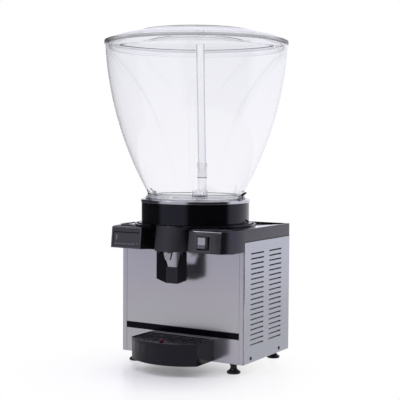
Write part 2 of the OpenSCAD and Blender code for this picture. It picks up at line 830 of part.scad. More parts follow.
module impeller() {
  z = dish_z + 1.2 + seat_gap;
  color("white") translate([0, pump_y, z]) difference() {
    union() {
      cylinder(r = impeller_r, h = 3);
      cylinder(r = 4, h = 8, $fn = 32);
      for (a = [0 : 60 : 300]) rotate(a) translate([3, -0.8, 2]) cube([impeller_r - 3.6, 1.6, 5]);
    }
    translate([0, 0, -1]) cylinder(r = 1.6 + running_fit, h = 12, $fn = 24);
  }
}

module tube_sleeve() {
  color("#c9ccd6") translate([stub_x, pump_y, sleeve_z]) difference() {
    cylinder(r = stub_r + 1.1, h = sleeve_h);
    translate([0, 0, -1]) cylinder(r = stub_r + running_fit, h = stub_top_z - sleeve_z + 1.2);
    cylinder(r = stub_r - 0.3, h = sleeve_h + 1);
  }
}

// Long tube, leaning a little towards the bowl's axis
module spray_tube() {
  color([0.9, 0.92, 0.97, 0.35]) translate([stub_x, pump_y, stub_top_z + 0.3])
    rotate(a = spray_lean, v = [pump_y, -stub_x, 0]) difference() {
      cylinder(r = spray_r, h = spray_len);
      translate([0, 0, -1]) cylinder(r = spray_r - 1.5, h = spray_len + 2);
    }
}

module motor_bracket() {
  color("silver") along_z(drum_z - 2, drum_z) difference() {
    circle(disc_r, $fn = 128);
    translate([0, pump_y]) circle(9 + running_fit);
    translate([-hood_cut, -disc_r - 1]) square([2 * hood_cut, disc_r + 1 + nose_y]);
    line_holes();
  }
}

module drive_motor() {
  color("gray") translate([0, pump_y, drum_z - 2]) difference() {
    union() {
      translate([0, 0, -motor_h]) cylinder(r = motor_r, h = motor_h);
      cylinder(r = 9, h = 6);
    }
    translate([0, 0, -24]) cylinder(r = shaft_r + running_fit, h = 40);
  }
}

module drive_magnet() {
  color("#3a3a40") translate([0, pump_y, 0]) {
    translate([0, 0, under_z - 11.5]) cylinder(r = magnet_r, h = 10);
    translate([0, 0, drum_z - 24]) cylinder(r = shaft_r, h = under_z - 11 - drum_z + 24);
  }
}

// Tap

module outlet_pipe() {
  color("silver") difference() {
    translate([0, pipe_top_y, under_z]) rotate([180 - pipe_angle, 0, 0]) difference() {
      translate([0, 0, -6]) cylinder(r = pipe_r, h = norm(pipe_run));
      translate([0, 0, -7]) cylinder(r = pipe_r - 1.5, h = norm(pipe_run) + 2);
    }
    translate([-20, pipe_top_y - 20, under_z]) cube([40, 40, 20]);
  }
}

module tap_body() {
  color("#e4e4e6") difference() {
    union() {
      translate([-tap_half, tap_y + 3, tap_bot_z])
        cube([2 * tap_half, nose_y - tap_y - 3, pivot_z + 5 - tap_bot_z]);
      translate([0, tap_y, tap_bot_z]) cylinder(r = 8.8, h = tap_boss_z - tap_bot_z);
      translate([-9, tongue_y, ring_z]) cube([18, anvil_y - tongue_y, tap_boss_z - 8 - ring_z]);
      translate([0, tap_y, ring_z]) cylinder(r = 11.5, h = 5);
      translate([-tap_flange_half, nose_y - tap_flange_t, tap_bot_z - 16])
        cube([2 * tap_flange_half, tap_flange_t, tap_boss_z - tap_bot_z + 16]);
    }
    translate([0, tap_y, tap_bot_z - 1]) cylinder(r = tube_r + running_fit, h = tube_top_z - tap_bot_z + 1.2);
    translate([0, tap_y, tube_top_z]) cylinder(r = tube_bore_r, h = 4);
    difference() {
      pipe_clear(pipe_r + running_fit);
      translate([-20, tap_y - 20, 0]) cube([40, 60, tap_boss_z - 1]);
    }
    translate([0, tap_y, ring_z - 1]) cylinder(r = 8 + running_fit, h = 7);
    both_sides() along_x(pin_in - 1, 2 * tap_half) translate([pivot_y, pivot_z])
      circle(pin_r + running_fit, $fn = 32);
    both_sides() along_y(nose_y - 10, nose_y + 1) translate([tap_screw_x, tap_screw_z])
      circle(screw_r + running_fit, $fn = 24);
  }
}

// Silicone tube, pinched flat against the tap body's tongue
module pinch_tube() {
  color("white") difference() {
    union() {
      translate([0, tap_y, tube_mid_z]) cylinder(r = tube_r, h = tube_top_z - tube_mid_z);
      hull() {
        translate([0, tap_y, tube_mid_z]) cylinder(r = tube_r, h = 0.4, $fn = 32);
        translate([-8.4, anvil_y + 0.1, pinch_z + 1.5]) cube([16.8, flat_t, 0.1]);
      }
      translate([-8.4, anvil_y + 0.1, pinch_z - 1.6]) cube([16.8, flat_t, 3.2]);
      hull() {
        translate([-8.4, anvil_y + 0.1, pinch_z - 1.6]) cube([16.8, flat_t, 0.1]);
        translate([0, tap_y, ring_z + 5.3]) cylinder(r = tube_r, h = 1.5, $fn = 32);
      }
    }
    translate([0, tap_y, tube_mid_z]) cylinder(r = tube_bore_r, h = tube_top_z - tube_mid_z + 1);
    translate([0, tap_y, ring_z]) cylinder(r = tube_bore_r, h = 7);
  }
}

module tap_nozzle() {
  color("silver") translate([0, tap_y, 0]) rotate_extrude() polygon([
    [4.5, ring_z - 17.5], [6, ring_z - 17.5], [9.6, ring_z - 3.5], [10.4, ring_z - 3.5], [10.4, ring_z],
    [8, ring_z], [8, ring_z + 5], [4.5, ring_z + 5]]);
}

// Slice of the tap cover: a bowed front between two straight sides
module hood_slice(z, half, edge_y, sag, back_y) {
  r = (half * half + sag * sag) / (2 * sag);
  a = asin(half / r);
  translate([0, 0, z]) linear_extrude(0.02) polygon(concat([[half, back_y], [-half, back_y]],
    [for (i = [0 : 16]) [r * sin(-a + 2 * a * i / 16), edge_y - sag + r - r * cos(-a + 2 * a * i / 16)]]));
}

module hood_solid(t, z0, z1, back_y) {
  hull() {
    hood_slice(z0, hood_w / 2 - t, hood_edge_y, hood_bot_sag - t, back_y);
    hood_slice(z1 - 0.02, hood_w / 2 - 3 - t, hood_edge_y, hood_top_sag - t, back_y);
  }
}

module tap_cover() {
  color("#222226") difference() {
    hood_solid(0, hood_bot_z, hood_top_z, nose_y - slip);
    hood_solid(hood_t, hood_bot_z - 0.1, hood_top_z + 0.1, nose_y + 5);
  }
}

// Lever: a folded plate with a window, two arms up to the pins, and a nose that pinches the tube
module lever() {
  half = lever_w / 2;
  bar_y = pivot_y - 4;
  nose = anvil_y + 0.1 + flat_t + seat_gap;
  color("#2a2a2e") difference() {
    union() {
      intersection() {
        along_z(lever_bot_z, lever_top_z) polygon([[-half, lever_wing_y], [-lever_flat, lever_face_y],
          [lever_flat, lever_face_y], [half, lever_wing_y], [half, lever_wing_y + lever_t],
          [lever_flat, lever_face_y + lever_t], [-lever_flat, lever_face_y + lever_t],
          [-half, lever_wing_y + lever_t]]);
        along_y(lever_wing_y - 5, lever_face_y + 10) difference() {
          polygon([[-half, lever_top_z], [-half, lever_bot_z + 8], [-lever_flat, lever_bot_z],
                   [lever_flat, lever_bot_z], [half, lever_bot_z + 8], [half, lever_top_z]]);
          polygon([[-arm_in, lever_top_z + 1], [-window_half, lever_bot_z + window_h],
                   [window_half, lever_bot_z + window_h], [arm_in, lever_top_z + 1]]);
        }
      }
      both_sides() along_x(arm_in, arm_in + arm_t) {
        translate([pivot_y - 4.5, lever_top_z - 9]) square([9, pivot_z - lever_top_z + 9]);
        translate([pivot_y, pivot_z]) circle(6, $fn = 48);
      }
      translate([-arm_in - 1, bar_y, pinch_z - 4]) cube([2 * arm_in + 2, 7, 8]);
      along_x(-9, 9) polygon([[bar_y + 1, pinch_z - 3.5], [nose + 1, pinch_z - 1.8], [nose, pinch_z],
                              [nose + 1, pinch_z + 1.8], [bar_y + 1, pinch_z + 3.5]]);
    }
    both_sides() along_x(arm_in - 1, arm_in + arm_t + 1) translate([pivot_y, pivot_z])
      circle(pin_r + running_fit, $fn = 32);
  }
}

module lever_pins() {
  color("silver") both_sides() along_x(pin_in, arm_in + arm_t + 0.5)
    translate([pivot_y, pivot_z]) circle(pin_r, $fn = 32);
}

// Torsion spring on each pin, one leg on the tap body and one behind the lever's arm
module lever_springs() {
  r = 4.3;
  steps = 16;
  turns = 2;
  x0 = tap_half + 0.7;
  path = concat([[x0, pivot_y + 12, pivot_z + r]],
    [for (i = [0 : turns * steps]) let (a = 90 - 360 * i / steps)
      [x0 + 1.3 * i / steps, pivot_y + r * cos(a), pivot_z + r * sin(a)]],
    [[x0 + 1.3 * turns, pivot_y - 9, pivot_z + r]]);
  color("silver") both_sides() wire(path, 0.5, [1, 0, 0], 6);
}

module tap_screws() {
  color("dimgray") both_sides() {
    along_y(nose_y - tap_flange_t - 0.5, nose_y + cover_t + 3) translate([tap_screw_x, tap_screw_z])
      circle(screw_r, $fn = 24);
    along_y(nose_y - tap_flange_t - 2, nose_y - tap_flange_t) translate([tap_screw_x, tap_screw_z])
      circle(screw_head_r, $fn = 32);
  }
}

// Drip tray

module tray_plan(inset) {
  intersection() {
    translate([-tray_w / 2 + inset, tray_front_y - 5])
      square([tray_w - 2 * inset, tray_back_y - inset - tray_front_y + 5]);
    translate([0, tray_front_y + tray_r]) circle(tray_r - inset, $fn = 128);
  }
}

module drip_tray() {
  color("#232327") difference() {
    union() {
      along_z(tray_z, tray_top_z) tray_plan(0);
      intersection() {
        along_z(tray_top_z - 8, tray_top_z) tray_plan(-0.8);
        translate([-tray_w, tray_front_y - 5, tray_z])
          cube([2 * tray_w, tray_back_y - tray_front_y + 5, tray_h]);
      }
      both_sides() translate([tongue_x - tongue_w / 2, tray_back_y - 1, tongue_z])
        cube([tongue_w, 11 + seat_gap + sheet_t, tongue_t]);
    }
    difference() {
      along_z(tray_z + tray_floor, grid_z - seat_gap) tray_plan(tray_wall + tray_ledge);
      translate([0, float_y, tray_z]) cylinder(r = 2, h = 14, $fn = 32);
    }
    along_z(grid_z - seat_gap - 0.01, tray_top_z + 1) tray_plan(tray_wall);
  }
}

// Perforated grid with rows of short slots and a hole for the float
module drip_grid() {
  cols = floor((tray_w / 2 - 12) / grid_pitch);
  row_len = 13;
  y0 = tray_back_y - tray_wall - 12;
  color("#2c2c30") along_z(grid_z, grid_z + grid_t) difference() {
    tray_plan(tray_wall + 0.5);
    for (i = [-cols : cols], j = [0 : 4]) {
      x = i * grid_pitch;
      y = y0 - j * (row_len + 3.5);
      reach = norm([abs(x) + 2, y - row_len / 2 - tray_front_y - tray_r]);
      if (reach < tray_r - 7 && norm([x, y - float_y]) > float_r)
        translate([x, y]) rotate(90) slot2d(row_len, 3.4);
    }
    translate([0, float_y]) circle(button_r + 0.4, $fn = 32);
  }
}

// Float with a red button that stands up through the grid when the tray fills
module tray_float() {
  z = tray_z + tray_floor + seat_gap;
  top = tray_top_z + button_rise;
  color("red") translate([0, float_y, 0]) rotate_extrude($fn = 48) polygon([
    [2.3, z], [float_r - 1, z], [float_r, z + 2], [float_r, z + 11], [button_r, z + 14],
    [button_r, top - 3], [button_r * 0.72, top - 0.9], [0, top], [0, z + 13], [2.3, z + 13]]);
}

// Cooling

// Pot-shaped shell on a foot plate, with its terminal box
module compressor() {
  bead = 3;
  color("#202020") difference() {
    union() {
      translate([comp_x, comp_y, comp_z]) rotate_extrude() polygon([[0, 3], [comp_r - 24, 3], [comp_r - 8, 14],
        [comp_r, 34], [comp_r, comp_h * 0.5], [comp_r + bead, comp_h * 0.5], [comp_r + bead, comp_h * 0.5 + 5],
        [comp_r, comp_h * 0.5 + 5], [comp_r, comp_h - 36], [comp_r - 10, comp_h - 14], [comp_r - 28, comp_h],
        [0, comp_h + 2]]);
      translate([comp_x - mount_x - 12, comp_y - mount_y - 12, comp_z])
        cube([2 * mount_x + 24, 2 * mount_y + 24, 4]);
      translate([comp_x - 18, comp_y - comp_r - 14, comp_z + 40]) cube([36, 24, 40]);
    }
    for (sx = [-1, 1], sy = [-1, 1]) translate([comp_x + sx * mount_x, comp_y + sy * mount_y, comp_z - 1])
      cylinder(r = 5 + running_fit, h = 6, $fn = 32);
  }
}

module compressor_mounts() {
  color("black") for (sx = [-1, 1], sy = [-1, 1])
    translate([comp_x + sx * mount_x, comp_y + sy * mount_y, pan_z]) rotate_extrude($fn = 32) polygon([
      [0, 0], [9, 0], [9, 15], [5, 15], [5, 19], [8, 19], [8, 22], [0, 22]]);
}

// Fin block between two end plates
module condenser() {
  y0 = mid_y - cond_w / 2;
  fins = 20;
  fin_t = 1.2;
  core_t = cond_t * 0.26;
  pitch = (cond_h - 8) / fins;
  color("silver") {
    along_y(y0, y0 + cond_w) {
      translate([cond_x0 + (cond_t - core_t) / 2, pan_z]) square([core_t, cond_h]);
      for (i = [0 : fins]) translate([cond_x0 + 1, pan_z + 3 + i * pitch]) square([cond_t - 1, fin_t]);
    }
    for (y = [y0 - cond_plate_t, y0 + cond_w - slip])
      translate([cond_x0, y, pan_z]) cube([cond_t, cond_plate_t + slip, cond_h + 4]);
  }
}

// Plate on the condenser with a round opening, and a strap in front of it for the fan's motor
module fan_shroud() {
  y0 = mid_y - cond_w / 2;
  strap_x = cond_x0 - bracket_reach;
  color("dimgray") {
    along_x(cond_x0 - cond_plate_t, cond_x0) difference() {
      translate([y0, pan_z]) square([cond_w, cond_h + 4]);
      translate([mid_y, fan_z]) circle(fan_r + 3, $fn = 96);
    }
    for (z = [pan_z + 4, pan_z + cond_h - bracket_t])
      translate([strap_x, mid_y - bracket_w / 2, z])
        cube([bracket_reach - cond_plate_t / 2, bracket_w, bracket_t]);
    along_x(strap_x, strap_x + bracket_t) difference() {
      translate([mid_y - bracket_w / 2, pan_z + 4]) square([bracket_w, cond_h - 4]);
      translate([mid_y, fan_z]) circle(fan_boss_r + running_fit, $fn = 48);
    }
  }
}

module fan_motor() {
  x = cond_x0 - bracket_reach;
  color("#303030") difference() {
    union() {
      along_x(x - fan_motor_len, x) translate([mid_y, fan_z]) circle(fan_motor_r, $fn = 48);
      along_x(x - 1, x + bracket_t + 3) translate([mid_y, fan_z]) circle(fan_boss_r, $fn = 48);
    }
    along_x(x - fan_motor_len / 3, x + bracket_t + 4) translate([mid_y, fan_z])
      circle(shaft_r + running_fit, $fn = 32);
  }
}

module fan() {
  shaft_x = cond_x0 - bracket_reach - fan_motor_len / 4;
  color("#484848") {
    along_x(shaft_x, fan_x) translate([mid_y, fan_z]) circle(shaft_r, $fn = 32);
    translate([fan_x, mid_y, fan_z]) rotate([0, 90, 0]) {
      translate([0, 0, -fan_hub_r + 2]) cylinder(r = fan_hub_r, h = fan_hub_r, $fn = 48);
      for (a = [0 : 72 : 288]) rotate(a) translate([fan_hub_r * 0.75, 0, -6]) rotate([24, 0, 0])
        translate([0, -fan_r / 5, -0.8]) cube([fan_r - fan_hub_r, fan_r * 0.4, 1.6]);
    }
  }
}

module filter_drier() {
  color("peru") translate([drier_x, drier_y, 0]) rotate_extrude($fn = 32) polygon([
    [0, drier_z0],
    [line_r + 0.5, drier_z0],
    [drier_r, drier_z0 + drier_neck],
    [drier_r, drier_z1 - drier_neck],
    [line_r + 0.5, drier_z1],
    [0, drier_z1]]);
}

// Discharge, liquid and suction lines
module pipes() {
  top = comp_z + comp_h + 1.2;
  run_z = pan_z + cond_h + 16;
  low_z = pan_z + 24;
  high_z = deck_z - 34;
  under_motor_z = drum_z - 2 - motor_h - 13;
  cond_y1 = mid_y + cond_w / 2 + cond_plate_t + 0.1;
  cond_x = cond_x0 + cond_t / 2;
  coil_z = under_z - coil_r;
  color("peru") {
    wire(bent([[comp_x, comp_y + 20, top], [comp_x, comp_y + 20, run_z], [cond_x, comp_y + 20, run_z],
               [cond_x, comp_y + 20, pan_z + cond_h + 0.1]], 8), line_r, [0.2, 0.9, 0.3]);
    wire(bent([[cond_x, cond_y1, low_z], [cond_x, drier_y, low_z], [drier_x, drier_y, low_z],
               [drier_x, drier_y, drier_z0]], 4), line_r, [0.3, 0.5, 0.8]);
    wire(bent([[drier_x, drier_y, drier_z1], [drier_x, drier_y, high_z], [liquid_at[0], liquid_at[1], high_z],
               [liquid_at[0], liquid_at[1], coil_z]], 8), line_r, [0.9, 0.2, 0.1]);
    wire(bent([[comp_x - 20, comp_y, top], [comp_x - 20, comp_y, under_motor_z],
               [suction_at[0], suction_at[1], under_motor_z], [suction_at[0], suction_at[1], coil_z]], 8),
         suction_r, [0.2, 0.9, 0.1]);
  }
}

module cable_gland() {
  color("black") translate([gland_x, 0, gland_z]) {
    along_y(rear_y - 6, rear_y) difference() {
      circle(8, $fn = 48);
      circle(4, $fn = 32);
    }
    along_y(rear_y, rear_y + 6) difference() {
      circle(11, $fn = 6);
      circle(4, $fn = 32);
    }
    along_y(rear_y + 6, rear_y + 14) difference() {
      circle(8, $fn = 48);
      circle(4, $fn = 32);
    }
  }
}

base_pan();
left_side_panel();
right_side_panel();
front_panel();
rear_panel();
front_trim_strip();
panel_screws();
foot_front_left();
foot_front_right();
foot_rear_left();
foot_rear_right();
top_cover();
control_fascia();
status_lamp();
control_board();
switch_bezel();
rocker();
drum();
insulation();
evaporator_plate();
evaporator_coil();
bowl_gasket();
bowl();
lid();
latch_brackets();
latch_pins();
latch_left();
latch_right();
pump_housing();
impeller();
tube_sleeve();
spray_tube();
motor_bracket();
drive_motor();
drive_magnet();
outlet_pipe();
tap_body();
pinch_tube();
tap_nozzle();
tap_cover();
lever();
lever_pins();
lever_springs();
tap_screws();
drip_tray();
drip_grid();
tray_float();
compressor();
compressor_mounts();
condenser();
fan_shroud();
fan_motor();
fan();
filter_drier();
pipes();
cable_gland();
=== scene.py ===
"""Looks of a cold drink dispenser: clear bowl and lid, black cover and tap, steel cabinet."""

import json
import math

import bmesh
import bpy
from mathutils import Matrix, Vector

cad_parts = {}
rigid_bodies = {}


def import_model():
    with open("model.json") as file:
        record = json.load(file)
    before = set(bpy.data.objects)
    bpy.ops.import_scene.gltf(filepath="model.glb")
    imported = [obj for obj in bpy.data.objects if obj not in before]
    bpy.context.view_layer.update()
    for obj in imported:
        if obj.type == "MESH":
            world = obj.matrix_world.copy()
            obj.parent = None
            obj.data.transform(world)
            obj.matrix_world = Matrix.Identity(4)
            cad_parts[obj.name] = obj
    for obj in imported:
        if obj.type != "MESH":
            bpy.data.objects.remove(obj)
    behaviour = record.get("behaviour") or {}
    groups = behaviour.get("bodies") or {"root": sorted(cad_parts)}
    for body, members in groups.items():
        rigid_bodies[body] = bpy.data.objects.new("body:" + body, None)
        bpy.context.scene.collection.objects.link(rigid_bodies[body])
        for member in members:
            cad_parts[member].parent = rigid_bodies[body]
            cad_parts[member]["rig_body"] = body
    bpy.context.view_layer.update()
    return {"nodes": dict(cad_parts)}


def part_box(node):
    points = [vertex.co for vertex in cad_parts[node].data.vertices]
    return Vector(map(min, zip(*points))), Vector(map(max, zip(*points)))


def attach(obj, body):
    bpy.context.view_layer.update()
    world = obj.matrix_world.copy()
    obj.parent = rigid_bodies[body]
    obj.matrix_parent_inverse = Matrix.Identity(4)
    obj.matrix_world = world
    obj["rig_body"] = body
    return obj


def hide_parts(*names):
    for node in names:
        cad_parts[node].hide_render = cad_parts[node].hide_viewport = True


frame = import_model()

bl_info = {
    "name": "Cold drink dispenser",
    "version": (1, 0, 0),
    "blender": (4, 5, 0),
    "location": "3D View > Sidebar > Dispenser",
    "description": "Dresses the solids of a cold drink dispenser and sets up its studio",
    "category": "Object",
}

MM = 0.001
# Ending of a finish's name, which keeps it apart from the plain colour that a solid brings along
LOOK = "_look"
WHITE = (1, 1, 1, 1)
# Steps round a wide turned piece, and the angle past which an edge stays sharp on it and on others
WIDE_STEPS, WIDE_SHARP, SHARP = 192, 40, 35
SIDES = ((1, "right"), (-1, "left"))
BOWL_LOW, BOWL_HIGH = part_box("bowl")
LID_LOW, LID_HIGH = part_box("lid")
DRUM_LOW, DRUM_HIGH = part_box("drum")


# Sizes and colours that a user would change

class DispenserSizes(bpy.types.PropertyGroup):
    """Sizes of the finish that the solids leave open"""

    bowl_wall: bpy.props.FloatProperty(
        name="Bowl wall", description="Thickness of the bowl's wall",
        default=3 * MM, unit="LENGTH")
    cover_edge: bpy.props.FloatProperty(
        name="Cover edge", description="Rounding of the top cover's edges",
        default=1.3 * MM, unit="LENGTH")
    sheet_edge: bpy.props.FloatProperty(
        name="Sheet edge", description="Rounding of the folded steel edges",
        default=2.2 * MM, unit="LENGTH")
    pod_edge: bpy.props.FloatProperty(
        name="Pod edge", description="Chamfer along the top of the control pods",
        default=1.9 * MM, unit="LENGTH")
    lip_edge: bpy.props.FloatProperty(
        name="Lip edge", description="Rounding of the cover's outer top edge",
        default=2.8 * MM, unit="LENGTH")
    louvre_depth: bpy.props.FloatProperty(
        name="Louvre depth", description="How far a louvre's tongue is pressed in",
        default=1.9 * MM, unit="LENGTH")
    louvre_rows: bpy.props.IntProperty(
        name="Louvre rows", description="Rows of louvres in a side panel", default=19, min=2)
    tick_count: bpy.props.IntProperty(
        name="Ticks", description="Plain ticks along the foot of the control fascia",
        default=8, min=2)


class DispenserColours(bpy.types.PropertyGroup):
    """Colours of the main finishes"""

    side_steel: bpy.props.FloatVectorProperty(
        name="Side steel", description="Brushed steel of the side panels",
        subtype="COLOR", size=4, default=(0.455, 0.465, 0.525, 1))
    front_steel: bpy.props.FloatVectorProperty(
        name="Front steel", description="Polished brushed steel of the front panel",
        subtype="COLOR", size=4, default=(0.478, 0.463, 0.507, 1))
    black: bpy.props.FloatVectorProperty(
        name="Black", description="Moulded black plastic",
        subtype="COLOR", size=4, default=(0.0088, 0.0086, 0.0105, 1))
    drum_black: bpy.props.FloatVectorProperty(
        name="Drum black", description="Gloss black of the drum",
        subtype="COLOR", size=4, default=(0.0030, 0.0029, 0.0038, 1))
    clear: bpy.props.FloatVectorProperty(
        name="Clear", description="Clear plastic of the bowl and lid",
        subtype="COLOR", size=4, default=(0.991, 0.991, 1.0, 1))
    float_red: bpy.props.FloatVectorProperty(
        name="Float red", description="Button of the tray's float",
        subtype="COLOR", size=4, default=(0.088, 0.004, 0.026, 1))


def sizes():
    return bpy.context.scene.dispenser_sizes


def colours():
    return bpy.context.scene.dispenser_colours


# Node helpers

def wired(tree, made, inputs):
    """Links or sets a node's inputs."""
    for key, value in inputs.items():
        if isinstance(value, bpy.types.NodeSocket):
            tree.links.new(value, made.inputs[key])
        else:
            made.inputs[key].default_value = value
    return made


def node(tree, kind, inputs=None, **settings):
    """Adds a node, sets its properties, and links or sets its inputs."""
    made = tree.nodes.new(kind)
    for key, value in settings.items():
        setattr(made, key, value)
    return wired(tree, made, inputs or {})


def maths(tree, operation, a, b):
    return node(tree, "ShaderNodeMath", {0: a, 1: b}, operation=operation).outputs[0]


def blended(tree, factor, a, b):
    return node(tree, "ShaderNodeMix", {0: factor, 6: a, 7: b}, data_type="RGBA").outputs[2]


def ranged(tree, value, low, high, start=0.0, end=1.0, **settings):
    return node(tree, "ShaderNodeMapRange", {
        "Value": value, "From Min": start, "From Max": end, "To Min": low, "To Max": high},
        **settings).outputs[0]


def noise(tree, where, scale, detail, rough=0.5):
    return node(tree, "ShaderNodeTexNoise", {
        "Vector": where, "Scale": scale, "Detail": detail, "Roughness": rough}).outputs["Fac"]


def bumped(tree, height, strength, distance):
    return node(tree, "ShaderNodeBump", {
        "Height": height, "Strength": strength, "Distance": distance}).outputs[0]


def mixed(tree, factor, a, b):
    return node(tree, "ShaderNodeMixShader", {0: factor, 1: a.outputs[0], 2: b.outputs[0]})


def group_tree(name, inputs, outputs):
    """A new shader node group with its sockets."""
    tree = bpy.data.node_groups.new(name, "ShaderNodeTree")
    for label, kind, default in inputs:
        made = tree.interface.new_socket(label, in_out="INPUT", socket_type=kind)
        made.default_value = default
    for label in outputs:
        tree.interface.new_socket(label, in_out="OUTPUT", socket_type="NodeSocketFloat")
    given, result = tree.nodes.new("NodeGroupInput"), tree.nodes.new("NodeGroupOutput")
    return tree, given.outputs, result


def brush_lines():
    """Fine drawn lines along one axis, and the broad clouds that handling leaves on steel."""
    found = bpy.data.node_groups.get("brush_lines")
    if found:
        return found
    tree, given, result = group_tree("brush_lines", [
        ("Vector", "NodeSocketVector", (0, 0, 0)),
        ("Stretch", "NodeSocketVector", (4, 900, 900))], ["Streak", "Cloud"])
    where = given["Vector"]
    drawn = node(tree, "ShaderNodeMapping", {"Vector": where, "Scale": given["Stretch"]})
    wired(tree, result, {
        "Streak": noise(tree, drawn.outputs[0], 1.0, 3.0, 0.65),
        "Cloud": noise(tree, where, 9.0, 2.0, 0.45)})
    return tree


def moulded_skin():
    """Fine moulded texture, slow changes of tone, and polished patches."""
    found = bpy.data.node_groups.get("moulded_skin")
    if found:
        return found
    tree, given, result = group_tree("moulded_skin", [
        ("Vector", "NodeSocketVector", (0, 0, 0)),
        ("Grain", "NodeSocketFloat", 1400.0)], ["Height", "Tone", "Polish"])
    where = given["Vector"]
    wired(tree, result, {
        "Height": noise(tree, where, given["Grain"], 2.0),
        "Tone": noise(tree, where, 22.0, 3.0),
        "Polish": noise(tree, where, 55.0, 4.0, 0.6)})
    return tree


def surface(name):
    """A new material, its tree, its shader and the Object coordinates."""
    made = bpy.data.materials.new(name)
    made.use_nodes = True
    tree = made.node_tree
    where = tree.nodes.new("ShaderNodeTexCoord").outputs["Object"]
    return made, tree, tree.nodes["Principled BSDF"], where


def placed(tree, group, **inputs):
    """The outputs of a group placed in a material."""
    values = {key.capitalize(): value for key, value in inputs.items()}
    return node(tree, "ShaderNodeGroup", values, node_tree=group).outputs


def shade(colour, by):
    return (colour[0] * by, colour[1] * by, colour[2] * by, 1)


# Finishes

def steel(name, colour, rough, stretch, lines, clouds=0.04, relief=0.04, wear=0.22, metal=1.0):
    """Drawn steel: lines along the sheet, and slightly uneven gloss."""
    made, tree, shader, where = surface(name)
    brush = placed(tree, brush_lines(), vector=where, stretch=stretch)
    streak = brush["Streak"]
    tone = blended(tree, streak, shade(colour, 1 - lines * 2), shade(colour, 1 + lines * 2))
    handled = ranged(tree, brush["Cloud"], 0.0, 0.5, 0.3, 0.8)
    wired(tree, shader, {
        "Base Color": blended(tree, handled, tone, shade(colour, 1 - clouds)),
        "Roughness": ranged(tree, streak, rough * (1 - wear), rough * (1 + wear), 0.25, 0.75),
        "Normal": bumped(tree, streak, relief, 0.2 * MM),
        "Metallic": metal})
    return made


def plastic(name, colour, rough, grain, relief, spread, sheen, coat=0.0, painted_glints=0.0):
    """Moulded plastic: a fine skin, slow tone, worn gloss and, where asked for, pale specks that
    are painted highlights.
    """
    made, tree, shader, where = surface(name)
    skin = placed(tree, moulded_skin(), vector=where, grain=grain)
    tone = blended(tree, skin["Tone"], shade(colour, 1 - spread), shade(colour, 1 + spread))
    # Pale specks mixed into the colour: painted highlights standing for the glints off the grid's
    # holes.
    if painted_glints:
        glint_spots = ranged(tree, noise(tree, where, 330.0, 1.0), 0.0, 1.0, 0.60, 0.70)
        tone = blended(tree, glint_spots, tone, (painted_glints, painted_glints, painted_glints * 1.06, 1))
    wired(tree, shader, {
        "Base Color": tone,
        "Roughness": ranged(tree, skin["Polish"], rough * 0.82, rough * 1.2, 0.25, 0.75),
        "Normal": bumped(tree, skin["Height"], relief, 0.3 * MM),
        "Specular IOR Level": sheen, "Specular Tint": (0.80, 0.79, 1.0, 1),
        "Coat Weight": coat, "Coat Roughness": 0.06})
    return made


def clear_plastic(name, colour, rough, density, tint, wave, edge):
    """Clear moulded plastic: light passes, edges gather a tint, silhouettes may darken with painted
    shade, and shadows stay open.
    """
    made, tree, shader, where = surface(name)
    skin = placed(tree, moulded_skin(), vector=where, grain=24.0)
    tone = blended(tree, skin["Tone"], shade(colour, 0.985), shade(colour, 1.0))
    # Darker colour where the surface turns away from the eye: painted shade standing for the dark
    # outline that refraction gives clear tubes.
    if edge < 1:
        facing = node(tree, "ShaderNodeLayerWeight", {"Blend": 0.5}).outputs["Facing"]
        painted_edge_shade = ranged(tree, facing, 0.0, 1.0, 0.34, 0.60)
        tone = blended(tree, painted_edge_shade, tone, shade(colour, edge))
    wired(tree, shader, {
        "Base Color": tone, "Normal": bumped(tree, skin["Height"], wave, 2 * MM),
        "Roughness": rough, "IOR": 1.49, "Transmission Weight": 1.0})
    open_shade = node(tree, "ShaderNodeBsdfTransparent", {"Color": (0.93, 0.93, 0.95, 1)})
    rays = node(tree, "ShaderNodeLightPath").outputs
    shown = mixed(tree, rays["Is Shadow Ray"], shader, open_shade)
    output = wired(tree, tree.nodes["Material Output"], {"Surface": shown.outputs[0]})
    if density:
        depth = node(tree, "ShaderNodeVolumeAbsorption", {"Color": tint, "Density": density})
        wired(tree, output, {"Volume": depth.outputs[0]})
    return made


# In the tables below, a colour that is a word is one of the user's colours

# Colour, roughness, how fine the lines are along each axis, and their strength; then, where they
# aren't the usual ones, strength of the clouds, relief, unevenness of the gloss, and metal
STEELS = {
    "side_steel": ("side_steel", 0.30, (900, 5, 900), 0.018),
    "front_steel": ("front_steel", 0.20, (5, 900, 900), 0.012, 0.03, 0.006, 0.05, 0.88),
    "zinc_steel": ((0.42, 0.43, 0.45), 0.34, (60, 60, 60), 0.07, 0.1),
    "plate_steel": ((0.50, 0.50, 0.53), 0.10, (500, 500, 20), 0.03, 0.04, 0.01),
    # Paler copy of the side steel for the side louvres' tongues: painted highlight for the slanted
    # face that catches the light
    "louvre_steel": ((0.80, 0.80, 0.83), 0.22, (900, 20, 900), 0.02),
    "chrome": ((0.72, 0.72, 0.74), 0.07, (40, 40, 200), 0.02),
    "nozzle_steel": ((0.33, 0.33, 0.36), 0.14, (40, 40, 200), 0.03),
    "aluminium": ((0.60, 0.61, 0.63), 0.36, (30, 400, 30), 0.05),
    "copper": ((0.62, 0.25, 0.13), 0.30, (80, 80, 80), 0.08, 0.14),
    "screw_black": ((0.035, 0.035, 0.038), 0.38, (200, 200, 200), 0.1),
}
